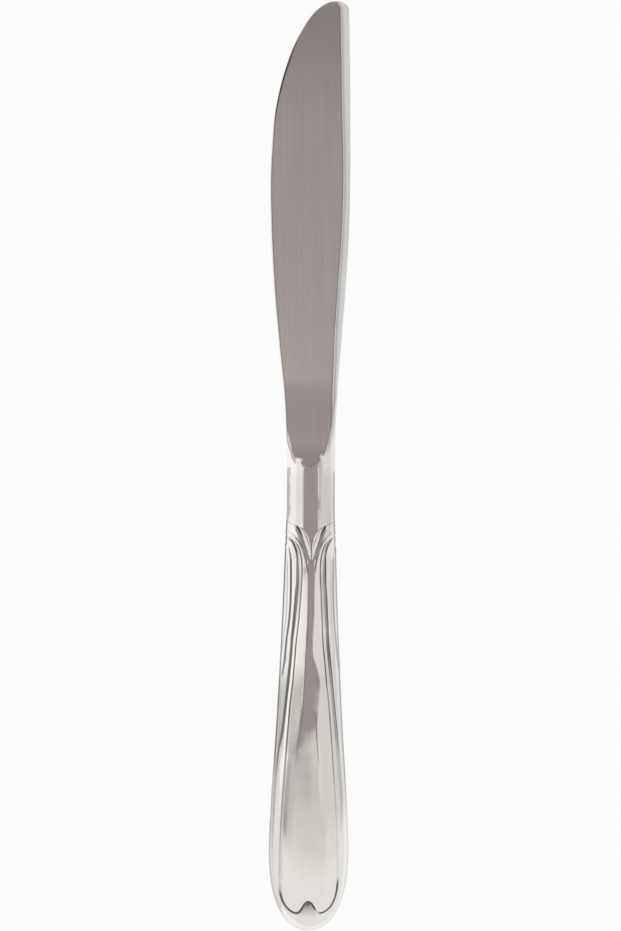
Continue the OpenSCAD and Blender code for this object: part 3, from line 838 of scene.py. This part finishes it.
def polishHaze(run, across, half, gap):
    # gap is the distance from the fine thread
    # greys the polish where darker reflections fall: painted reflection
    look = paintedReflectionPatches
    left = across < 0
    inside = half - np.abs(across)

    def dull(key):
        share, along = look[key]
        return share * patch(run, *along)

    neck = sum(share * patch(run, *along) * patch(across, *aside) for share, along, aside in look["neck"])
    wedge = 0.15 - smooth(keelBorder, np.clip(run, 27, 66))
    panel = dull("panel") * rise(-across, wedge, 0.3) * (1 - patch(gap, *look["panelClear"]))
    inner = dull("inner") * rise(gap, -1.7, 0.4) * (gap < 0.3) * left
    outer = between(run, look["outer"]) * patch(run, *look["outerAlong"])
    outer = outer * fall(inside, between(run, look["outerReach"]) - 0.4, 0.5) * left
    even = between(run, look["even"]) * rise(across, between(run, look["evenFrom"]), 0.3)
    return clip(np.maximum.reduce([neck, panel, inner, outer, dull("lowest") * fall(inside, 3.2, 0.5) * left,
                                   even, dull("neckLeft") * rise(-across, 1.5, 0.3),
                                   dull("spot") * rise(-across, 0.7, 0.3) * rise(-gap, 0.25, 0.2)]))


# Where the relief comes and goes, down from the mouth
reliefAt = {
    "rim": (24.0, 60.0), "petal": (19.0, 22.5), "veeStart": (13.9, 15.0), "veeEnd": (20.0, 23.6),
    "band": (21.5, 26.5), "fineStart": (17.4, 19.0), "fineWeaker": (66.0, 80.0), "fineEnd": (96.0, 104.0),
    "wideStart": (19.0, 26.0), "wideRise": (22.0, 50.0), "wideNarrows": (44.0, 66.0), "wideEnd": (76.0, 94.0),
    "outerEnd": (47.0, 53.0), "lipStart": (20.0, 26.0), "lipEnd": (56.0, 66.0), "butt": (100.0, 107.0),
}


def reliefTree():
    # rim, petals and threads, raised from and pressed into the shell along its outward direction
    bench, sizes = shapeTree("struckThreads", struck)
    rim, band, vee = named(bench, "rim"), named(bench, "band"), named(bench, "vee")
    fine, wide, outer = named(bench, "fine"), named(bench, "wide"), named(bench, "outer")
    run, side = named(bench, "run"), named(bench, "side")
    at = reliefAt

    def thread(key, gap, width, share=1.0, lift=0.0):
        # level across its width, falling away on both sides
        lean = named(bench, key + "Lean")
        reach = width + sizes[key.capitalize() + " Fall"]
        saw = (gap.atMost(width).atLeast(-width) + lift) * (1 - gap.size().ramp(width, reach))
        return share * saw * lean * (1 + lean * lean).power(0.5)

    # petals: up at the rim, crowned, down into the vee groove, whose far side rises slowly
    height = sizes["Rim Height"] * rim.ramp(-0.02, 0.24) * (1 - run.ramp(*at["rim"], "LINEAR"))
    petal = (1 - vee.ramp(-0.75, -0.05)) * rim.ramp(0.0, 0.5)
    height = height + 0.1 * petal * (1 - run.ramp(*at["petal"]))
    veeCut = vee.ramp(-0.28, 0.0) * (1 - vee.ramp(0.02, sizes["Vee Side"], "LINEAR"))
    height = height - sizes["Vee Depth"] * veeCut * (1 - run.ramp(*at["veeEnd"])) * run.ramp(*at["veeStart"])
    # second band: a small step up with a round back
    step = band.ramp(-0.05, 0.2) * (1 - wide.ramp(-0.85, -0.3))
    height = height + sizes["Band Height"] * step * (1 - run.ramp(*at["band"], "LINEAR"))
    # threads; the wide one narrows and lies deeper where it starts
    fineCut = thread("fine", fine, sizes["Fine Width"]) * run.ramp(*at["fineStart"])
    height = height + fineCut * (1 - 0.6 * run.ramp(*at["fineWeaker"])) * (1 - run.ramp(*at["fineEnd"]))
    wideWidth = sizes["Wide Width"]
    wideWidth = wideWidth + (sizes["Wide Narrow"] - wideWidth) * run.ramp(*at["wideNarrows"])
    wideWidth = wideWidth * (0.5 + 0.5 * run.ramp(*at["wideStart"]))
    lift = 0.36 * run.ramp(*at["wideRise"], "LINEAR") - 0.2
    height = height + thread("wide", wide, wideWidth, 0.55, lift) * (1 - run.ramp(*at["wideEnd"]))
    height = height + thread("outer", outer, sizes["Outer Width"]) * (1 - run.ramp(*at["outerEnd"]))
    # on the right hand the wide one's outer side ends in a low lip
    lip = (wide - wideWidth).ramp(-0.22, 0.0) * (1 - (wide - wideWidth).ramp(0.0, 0.2))
    lip = sizes["Lip Height"] * lip * named(bench, "rightHand")
    height = height + lip * run.ramp(*at["lipStart"]) * (1 - run.ramp(*at["lipEnd"]))
    # round the butt the panel ends in a steep edge over a long slope
    cut = (fine + 0.26).ramp(0.0, 0.26) * (1 - fine.ramp(0.08, sizes["Butt Side"]))
    height = height - sizes["Butt Depth"] * cut * run.ramp(*at["butt"])
    # little of it is left at the contour
    height = height * (1 - 0.75 * side.ramp(0.72, 0.96))
    offset = bench.wire("ShaderNodeVectorMath", {"operation": "SCALE"},
                        {0: named(bench, "outward", "FLOAT_VECTOR"), "Scale": height * mm})
    moved = bench.wire("GeometryNodeSetPosition", {}, {"Geometry": sizes["Geometry"], "Offset": offset})
    finishTree(bench, moved, sizes["Material"])
    return bench


# Blade, bolster, plug and tang

blade = {
    "length": 115.5, "bellyAt": 70.0, "edgeReach": 10.7, "spineReach": 9.3, "spineDrop": 0.6, "tipX": 5.5,
    "tipCorner": 2.0, "thick": 2.4, "tipThick": 1.4, "edgeThick": 0.12, "bevel": 0.46, "bevelHeight": 0.38,
    "neckWidth": 11.9, "neckThick": 8.0, "plug": 6.0, "tang": 58.0, "tangWidth": 6.0, "tangEnd": 4.0,
    "tangThick": 2.6, "wall": 0.8, "tangSquare": 10,
    "edgeRise": [[0, 0], [0.1, 0.055], [0.25, 0.2], [0.45, 0.51], [0.65, 0.78], [0.85, 0.945], [1, 1]],
    "spineRise": [[0, 0], [0.1, 0.01], [0.25, 0.14], [0.45, 0.43], [0.65, 0.73], [0.85, 0.95], [1, 1]],
    "tipRound": [[0, 0], [0.23, 0.32], [0.4, 0.535], [0.57, 0.745], [0.7, 0.875], [0.82, 0.955], [1, 1]],
    "tipSlope": 1.42,
    # sides of the ground flat: across from the axis, by the distance from the mouth
    "flatRight": [[-1, 2.3], [1, 2.45], [2.6, 2.85], [3.5, 3.35], [4.9, 3.77], [8, 4.58], [10.3, 4.93],
                  [14, 5.08], [19, 5.22], [26.6, 5.44], [34, 5.7]],
    "flatLeft": [[-1, 3.75], [1, 4.0], [2.35, 4.6], [3.84, 4.95], [5.57, 5.6], [7.3, 5.9], [9.3, 6.02],
                 [14, 6.2], [21.7, 6.7]],
    "stripWidth": [[0, 1.3], [19, 1.35], [26.6, 1.6], [34, 1.95], [48, 2.05], [64, 1.85], [72, 1.8],
                   [78, 1.87], [86, 2.1], [100, 2.25], [116, 2.3]],
    # heights of the ground flat at its right and left side
    "heightRight": [[-1, 4.4], [1, 4.05], [2.6, 3.53], [4.9, 3.09], [8, 2.54], [10.3, 2.12], [14, 1.6],
                    [18, 1.3], [24, 1.15]],
    "heightLeft": [[-1, 4.3], [1.0, 3.5], [2.1, 3.05], [3.2, 2.72], [4.6, 2.4], [8, 1.8], [10.3, 1.55],
                   [14, 1.1], [18, 0.72], [24, 0.42]],
    # where the bolster has run out into the spine's strip, the edge side and the whole blade (place, length)
    "spineFrom": (16, 12), "edgeFrom": (14, 8), "bladeFrom": (5, 13),
    "stripFall": (0.45, 0.64), "stripFallFrom": (78, 12), "stripPower": 2.8, "edgePower": 14,
    # the ground face ends on the bolster in an uneven line: its start, and steps (height, place, softness)
    "groundEnd": 0.8, "groundLift": 0.9,
    "groundSteps": [(1.3, -3.9, 0.35), (-3.2, -2.35, 0.5), (2.6, 1.5, 0.4), (1.4, 2.1, 0.5)],
    "teethFrom": 57.5, "teethTo": 107.0,
    # rings (from, to, count), and columns on the spine's strip, the flat and the bevel
    "rings": [(0, 3, 16), (3, 24, 64), (24, 57.5, 68), (57.5, 107.0, 364)], "tipRings": 60,
    "spineColumns": 16, "flatColumns": 38, "edgeColumns": 12,
}
teeth = {"Depth": 0.13, "Pitch": 1.09}


def edgeReach(s):
    low = mix(blade["neckWidth"] / 2, blade["edgeReach"], smooth(blade["edgeRise"], s / blade["bellyAt"]))
    tip = blade["length"] - blade["bellyAt"]
    root = np.sqrt(clip((blade["length"] - s) / tip))
    high = mix(-blade["tipX"], blade["edgeReach"], smooth(blade["tipRound"], root, blade["tipSlope"]))
    return np.where(s <= blade["bellyAt"], low, high)


def spineReach(s):
    low = mix(blade["neckWidth"] / 2, blade["spineReach"], smooth(blade["spineRise"], s / blade["bellyAt"]))
    tip = blade["length"] - blade["bellyAt"]
    high = blade["spineReach"] - blade["spineDrop"] * ((s - blade["bellyAt"]) / tip) ** 2
    return np.where(s <= blade["bellyAt"], low, high)


def tableAt(key, s):
    return smooth(blade[key], np.clip(s, blade[key][0][0], blade[key][-1][0]))


def shareOf(x, a, b):
    # 0 at a and 1 at b
    return clip((x - a) / np.maximum(b - a, 1e-6))


def bladeHalf(s):
    # upper half of the blade on rings at distances s: places across, heights, marks
    s = s[:, None]
    corner = np.sqrt(np.maximum(0, 1 - (1 - clip((blade["length"] - s) / blade["tipCorner"])) ** 2))
    spine = mix(blade["tipX"], spineReach(s), corner)
    edge = -edgeReach(s)
    strip = tableAt("stripWidth", s)
    narrow = np.minimum(1, (spine - edge) / (strip + blade["bevel"]) / 2)
    right = mix(tableAt("flatRight", s), spine - strip * narrow, rise(s, *blade["spineFrom"]))
    edgeBlend = rise(s, *blade["edgeFrom"])
    left = mix(-tableAt("flatLeft", s), edge + blade["bevel"] * narrow, edgeBlend)
    top = mix(blade["thick"], blade["tipThick"], s / blade["length"]) / 2 * corner
    highRight = mix(tableAt("heightRight", s), top, edgeBlend)
    highLeft = mix(tableAt("heightLeft", s), blade["bevelHeight"] * corner, edgeBlend)
    # columns: spine side, flat, edge side
    a = np.sin(np.linspace(1, 0, blade["spineColumns"] + 1) * math.pi / 2)[None, :]
    flat = (0.5 - 0.5 * np.cos(np.linspace(0, math.pi, blade["flatColumns"] + 1)))[None, 1:]
    b = np.sin(np.linspace(0, 1, blade["edgeColumns"] + 1) * math.pi / 2)[None, 1:]
    x = np.concatenate([right + (spine - right) * a, right + (left - right) * flat,
                        left + (edge - left) * b], 1)
    flatHeight = highLeft + (highRight - highLeft) * (x - left) / np.maximum(right - left, 1e-6)
    # round bolster, rounded spine strip and edge bevel
    reach = np.where(x > 0, spine, -edge)
    oval = blade["neckThick"] / 2 * arch(clip(np.abs(x) / reach), shell["neckPower"])
    t = shareOf(x, right, spine)
    stripFall = mix(*blade["stripFall"], rise(s, *blade["stripFallFrom"]))
    stripHigh = highRight * (1 - stripFall * t) * arch(t, blade["stripPower"])
    u = shareOf(-x, -left, -edge)
    edgeHigh = (highLeft * (1 - u) + blade["edgeThick"] / 2 * corner * u) * arch(u, blade["edgePower"])
    inFlat = (x <= right) & (x >= left)
    blunt = np.where(x > right, stripHigh, np.where(x < left, edgeHigh, flatHeight + 1))
    high = mix(oval, blunt, rise(s, *blade["bladeFrom"]))
    end = blade["groundEnd"]
    for step, place, soft in blade["groundSteps"]:
        end = end + step * rise(x, place, soft)
    onFlat = np.where(inFlat, 1.0, 0.0) * ease((s - end) / 0.3 + 0.5)
    flatHeight = flatHeight + blade["groundLift"] * (1 - ease((s - end) / 0.5 + 0.5))
    beside = np.minimum(high, np.where(x > right, highRight, 9))
    z = np.where(inFlat, softMin(high, flatHeight, 0.06), beside)
    z[:, [0, -1]] = 0
    return x, np.maximum(z, 0), onFlat


# Marks on the blade, mostly painted shade and painted reflection: how dark or dull, and where they come and
# go along it
bladeMarks = {
    # painted crease shade beside the bevel: its strength before and on the tip, and where it is wider and
    # further in
    "crease": (0.52, 1.0), "creaseStrong": (80, 90, 104, 108), "creaseWide": (91, 96, 101, 104.5),
    "creaseShift": 0.14, "creaseAlong": (0.8, 1.8, 112, 115),
    # painted shade in the spine's crease, and painted darker reflection on half of the spine's strip
    "spineLine": 0.33, "spineLineAt": (-0.06, 0.05, 0.16), "spineLineFrom": (4, 6),
    "stripPaintedReflection": 0.36, "stripPaintedReflectionAt": (0.5, 0.05, 0.2), "stripReach": (0.3, 1.1), "stripFrom": (2, 4),
    # painted darker reflection towards the tip, at the tongue's end, and on the bolster beside its dark
    # middle
    "tip": (0.5, 80, 35), "tongue": (0.42, 2.5, 4), "bolster": 0.72, "bolsterAt": (1.72, 1.87, 1.9, 3.4),
    "bolsterEnd": (1.2, 1.4), "spineTint": (0.02, 0.2), "spineTintFrom": (8, 16),
}


def marksOn(x, y, onFlat):
    # painted shade in the creases, painted darker reflection on the polish, and tint of the spine
    look = bladeMarks
    spineAt = blade["spineColumns"]
    creaseAt = spineAt + blade["flatColumns"]
    # painted shade in the crease beside the bevel
    strength = mix(*look["crease"], patch(y, *look["creaseStrong"]))
    wide = patch(y, *look["creaseWide"])
    fromEdge = np.abs(x - x[:, creaseAt:creaseAt + 1] - look["creaseShift"] * wide)
    line = fall(fromEdge, 0.08 + 0.1 * wide, 0.17 - 0.06 * wide) * strength * patch(y, *look["creaseAlong"])
    inStrip = x - x[:, spineAt:spineAt + 1]
    spineLine = look["spineLine"] * nearTo(inStrip, *look["spineLineAt"]) * rise(y, *look["spineLineFrom"])
    # painted darker reflection on the spine's strip
    dull = look["stripPaintedReflection"] * (fall(inStrip, *look["stripReach"]) + nearTo(inStrip, *look["stripPaintedReflectionAt"]))
    dull = np.where(inStrip > 0, dull, 0) * rise(inStrip, 0.05, 0.3) * rise(y, *look["stripFrom"])
    # painted darker reflection on the flat towards the tip and at the tongue, and on the bolster
    tip, *tipFrom = look["tip"]
    tongue, *tongueEnd = look["tongue"]
    paintedDarker = onFlat * (tip * rise(y, *tipFrom) + tongue * fall(y, *tongueEnd))
    bolster = look["bolster"] * patch(x, *look["bolsterAt"]) * fall(y, *look["bolsterEnd"]) * (1 - onFlat)
    tint = rise(inStrip, *look["spineTint"]) * rise(y, *look["spineTintFrom"])
    return np.maximum(line, spineLine), np.maximum.reduce([dull, paintedDarker, bolster]), tint


def bladeForm(material):
    near = blade["length"] - blade["teethTo"]
    count = blade["tipRings"]
    s = np.concatenate([np.linspace(*span)[:-1] for span in blade["rings"]]
                       + [blade["length"] - near * (1 - np.arange(count) / count) ** 2])
    x, z, onFlat = bladeHalf(s)
    y = s[:, None] * np.ones_like(x)
    line, paintedDulling, tint = marksOn(x, y, onFlat)
    upper = np.stack([x, y, z], 2)
    lower = upper[:, -2:0:-1] * [1, 1, -1]
    ring = np.concatenate([upper, lower], 1)
    ringCount = ring.shape[1]

    def mirrored(values):
        return np.concatenate([values, values[:, -2:0:-1]], 1)

    bevelMark = np.zeros_like(x)
    bevelMark[:, -blade["edgeColumns"] - 1:] = np.linspace(0, 1, blade["edgeColumns"] + 1)[None, :]
    run = np.concatenate([[0], np.cumsum(np.hypot(np.diff(x[:, -1]), np.diff(s)))])
    toothed = ease((y - blade["teethFrom"]) / 2) * (1 - ease((y - blade["teethTo"] + 2) / 2))
    numbers = {"ground": mirrored(onFlat), "edgeLine": mirrored(line), "stripHaze": mirrored(paintedDulling),
               "spineStrip": mirrored(tint), "bevelMark": mirrored(bevelMark * toothed),
               "edgeRun": mirrored(run[:, None] * np.ones_like(x))}
    # plug and tang behind the mouth, on the same columns
    angle = np.linspace(0, 2 * math.pi, ringCount, endpoint=False)
    xs, zs = np.cos(angle), np.sin(angle)
    neckX = blade["neckWidth"] / 2 - blade["wall"]
    neckZ = blade["neckThick"] / 2 - blade["wall"]
    power = blade["tangSquare"]
    square = 1 / (np.abs(xs) ** power + np.abs(zs) ** power) ** (1 / power)
    back = []
    for width, deep, at in ((blade["tangEnd"] / 2, blade["tangThick"] / 2, -blade["tang"]),
                            (blade["tangWidth"] / 2, blade["tangThick"] / 2, -blade["plug"])):
        back.append(np.stack([xs * width * square, np.full(ringCount, at), zs * deep * square], 1))
    for at in (-blade["plug"], 0.0):
        back.append(np.stack([xs * neckX, np.full(ringCount, at), zs * neckZ], 1))
    back = np.array(back)
    everything = np.concatenate([back, ring], 0)
    for key in numbers:
        numbers[key] = np.concatenate([np.zeros((len(back), ringCount)), numbers[key]], 0).ravel()
        numbers[key] = np.append(numbers[key], [0, 0])
    allRows = len(everything)
    middles = [[0, -blade["tang"], 0], [blade["tipX"], blade["length"], 0]]
    points = np.vstack([everything.reshape(-1, 3), middles])
    faces = []
    for start in range(0, (allRows - 1) * ringCount, ringCount):
        for j in range(ringCount):
            k = (j + 1) % ringCount
            faces.append((start + j, start + k, start + ringCount + k, start + ringCount + j))
    last = (allRows - 1) * ringCount
    for j in range(ringCount):
        k = (j + 1) % ringCount
        faces.append((k, j, len(points) - 2))
        faces.append((last + j, last + k, len(points) - 1))
    made = makeObject("bladeSteelPiece", points, faces, numbers)
    applyTree(made, teethTree(), teeth, material)
    for key in ("bevelMark", "edgeRun"):
        made.data.attributes.remove(made.data.attributes[key])
    weld(made)
    return made


def teethTree():
    # fine teeth along the cutting edge: each is a shallow scallop in the bevel
    bench, sizes = shapeTree("edgeTeeth", teeth)
    bevel = named(bench, "bevelMark")
    turn = named(bench, "edgeRun") * math.pi / sizes["Pitch"]
    scallop = 1 - turn.sine().size()
    inward = sizes["Depth"] * scallop.power(0.7) * bevel * bevel * mm
    offset = bench.wire("ShaderNodeCombineXYZ", {}, {0: inward})
    moved = bench.wire("GeometryNodeSetPosition", {}, {"Geometry": sizes["Geometry"], "Offset": offset})
    finishTree(bench, moved, sizes["Material"])
    return bench


# Studio

studio = {
    "right": (0.77, 0.735, 0.71, 1.0), "rightLow": (0.65, 0.63, 0.61, 1.0),
    "front": (0.82, 0.81, 0.78, 1.0), "dusk": (0.40, 0.375, 0.36, 1.0),
    "white": (1.0, 0.985, 0.96, 1.0), "edge": (0.87, 0.82, 0.8, 1.0),
    "leftEdge": 0.38, "rightEdge": 0.38, "edgeSoft": 0.012, "slant": -0.03, "slantRight": 0.08,
    # brightness of the ceiling and the left wall by the slope of the reflected ray towards the butt
    "ceiling": [(0.0, 0.328), (0.05, 0.328), (0.054, 0.42), (0.058, 0.505), (0.0655, 0.55), (0.07, 0.6),
                (0.0735, 0.63), (0.084, 0.655), (0.093, 0.7), (0.114, 0.72), (0.14, 0.755), (0.2, 0.8),
                (1.0, 0.84)],
    "left": [(0.0, 0.89), (0.02, 0.89), (0.0265, 0.55), (0.07, 0.54), (0.084, 0.63), (0.1, 0.7), (0.13, 0.78),
             (1.0, 0.84)],
    # brightness of the ceiling's far end, by the slope of the ray towards the tip
    "away": [(0.0, 0.328), (0.06, 0.31), (0.11, 0.29), (0.18, 0.33), (0.5, 0.36), (1.0, 0.3)],
    "darkTint": (1.0, 0.886, 0.887), "paleTint": (1.0, 0.965, 0.915), "tintFrom": (0.36, 0.2),
    # a dusky patch on the left wall, by slope and sideways; where that wall turns white; where level rays
    # and the front wall begin; and the thin pale edge
    "duskSlope": (0.05, 0.06, 0.08, 0.1), "duskAside": (0.5, 0.75, 1.1, 1.4), "whiteFrom": (0.95, 1.5),
    "levelFrom": (1.2, 2.5), "frontFrom": (0.07, 0.18), "paleEdge": (0.372, 0.385, 0.43, 0.45),
    "sensor": 36.0, "cameraHeight": 1.0, "pixelsPerMm": 4.039, "longSide": 931, "roll": 0.355, "across": 0.29,
}


def buildWorld():
    # a plain room: white on the left, pale grey on the right, a darker ceiling that runs off to the back
    look = studio
    world = bpy.data.worlds.new("studio")
    bpy.context.scene.world = world
    world.use_nodes = True
    world.node_tree.nodes.clear()
    bench = Bench(world.node_tree)
    direction = bench.wire("ShaderNodeTexCoord", {}, {}, 0)
    dx, dy, dz = bench.split(direction)
    up = dz.atLeast(0.02)
    sideways = dx / up
    toButt = -dy / up
    soft = look["edgeSoft"]
    leftEdge = (-sideways).ramp(look["leftEdge"] - soft, look["leftEdge"] + soft)
    rightEdge = sideways.ramp(look["rightEdge"] - soft, look["rightEdge"] + soft)

    def toned(key, slope):
        # the darker it is, the warmer
        stops = []
        for place, level in look[key]:
            warm = (level - look["tintFrom"][0]) / look["tintFrom"][1]
            colour = [level * mix(a, b, clip(warm)) for a, b in zip(look["darkTint"], look["paleTint"])]
            stops.append((place, (*colour, 1.0)))
        return bench.wire("ShaderNodeValToRGB", {"stops": stops}, {0: slope})

    slanted = toButt + look["slant"] * sideways + look["slantRight"] * sideways.atLeast(0.0)
    ceiling = bench.blend(toButt.ramp(-0.012, 0.0), toned("away", -toButt), toned("ceiling", slanted))
    leftWall = toned("left", toButt)
    dusk = toButt.patch(*look["duskSlope"]) * (-sideways).patch(*look["duskAside"])
    leftWall = bench.blend((-sideways).ramp(*look["whiteFrom"]), leftWall, look["white"])
    leftWall = bench.blend(dusk, leftWall, look["dusk"])
    room = bench.blend(leftEdge, bench.blend(rightEdge, ceiling, look["right"]), leftWall)
    # level rays, which the contour mirrors, are told apart by their heading
    level = sideways.size().ramp(*look["levelFrom"])
    heading = (-dy / (dx.size() + 0.05)).ramp(-0.04, 0.04)
    front = toButt.ramp(*look["frontFrom"]) * (1 - level) + heading * level * (1 - leftEdge)
    # a thin pale edge between the ceiling and the right wall
    pale = sideways.patch(*look["paleEdge"]) * toButt.patch(-0.0005, 0.0005, 0.007, 0.008)
    room = bench.blend(pale, room, look["edge"])
    room = bench.blend(sideways.ramp(*look["levelFrom"]), room, look["rightLow"])
    room = bench.blend(front, room, look["front"])
    seen = bench.wire("ShaderNodeLightPath")
    colour = bench.blend(seen, room, (1.0, 1.0, 1.0, 1.0))
    background = bench.wire("ShaderNodeBackground", {}, {"Color": colour, "Strength": 1.0})
    end = bench.node("ShaderNodeOutputWorld")
    bench.tree.links.new(background.socket, end.inputs[0])


floorLook = {
    "size": 3.0, "colour": (0.85, 0.85, 0.85, 1.0), "white": (1.0, 1.0, 1.0, 1.0), "camera": 0.93,
    # the share of its white that the steel mirrors, left and right of the axis, with steps down the handle
    "left": 0.95, "leftSteps": [(-0.1, 0.0, 6.0), (-0.25, 50.0, 58.0), (0.2, 90.0, 98.0)],
    "right": 0.62, "rightSteps": [(0.18, 80.0, 90.0)], "middle": 0.004,
}


def buildFloor():
    # pale floor that keeps a faint shadow
    look = floorLook
    size = look["size"]
    mesh = bpy.data.meshes.new("floor")
    corners = [(-size, -size, 0), (size, -size, 0), (size, size, 0), (-size, size, 0)]
    mesh.from_pydata(corners, [], [(0, 1, 2, 3)])
    floor = placeObject("floor", mesh)
    material, bench = newMaterial("paleFloor")
    paths = bench.node("ShaderNodeLightPath")
    rays = ("Is Camera Ray", "Is Glossy Ray", "Is Transmission Ray")
    camera, glossy, through = (Wire(bench, paths.outputs[key]) for key in rays)
    fx, fy, _ = bench.split(bench.wire("ShaderNodeTexCoord", {}, {}, 3))
    behind = (float(knifePlace[1]) - fy) / mm
    sides = []
    for key in ("left", "right"):
        white = look[key]
        for step, low, high in look[key + "Steps"]:
            white = white + step * behind.ramp(low, high)
        sides.append(white)
    share = (fx - float(knifePlace[0])).ramp(-look["middle"], look["middle"])
    mirrored = sides[0] + (sides[1] - sides[0]) * share
    seen = (camera * look["camera"]).atLeast(glossy * mirrored).atLeast(through * look["camera"])
    matte = bench.wire("ShaderNodeBsdfDiffuse", {}, {"Color": look["colour"]})
    glow = bench.wire("ShaderNodeEmission", {}, {"Color": look["white"], "Strength": 1.0})
    endMaterial(bench, bench.wire("ShaderNodeMixShader", {}, {0: seen, 1: matte, 2: glow}))
    mesh.materials.append(material)


def buildCamera():
    look = studio
    data = bpy.data.cameras.new("camera")
    camera = placeObject("camera", data)
    # straight above, a trace of roll as in the photograph; the middle plane is seen at its scale
    camera.location = (look["across"] * mm, 0.0, look["cameraHeight"] + knifePlace[2])
    camera.rotation_euler = (0.0, 0.0, math.radians(look["roll"]))
    data.sensor_fit = "AUTO"
    data.sensor_width = look["sensor"]
    data.lens = look["sensor"] * look["cameraHeight"] / (look["longSide"] / look["pixelsPerMm"] * mm)
    bpy.context.scene.camera = camera


buildCamera()
buildWorld()
buildFloor()
bpy.context.scene.view_settings.view_transform = "Standard"
print("camera, world and floor made")

polished = polishedSteel()
frontShell = handleShell("frontShellPiece", 1, polished)
backShell = handleShell("backShellPiece", -1, polished)
print("handle shells made:", len(frontShell.data.polygons), "faces each")
bladePiece = bladeForm(bladeSteel())
print("blade made:", len(bladePiece.data.polygons), "faces")

for piece, node, slot in ((frontShell, "front_shell", "handle_steel"),
                          (backShell, "back_shell", "handle_steel"),
                          (bladePiece, "blade", "blade_steel")):
    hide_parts(node)
    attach(piece, "root")

for node, material in (("seam_braze", brazeBrass()), ("tang_cement", handleCement())):
    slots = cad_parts[node].data.materials
    slots.clear()
    slots.append(material)
print("materials on the solids that stay")
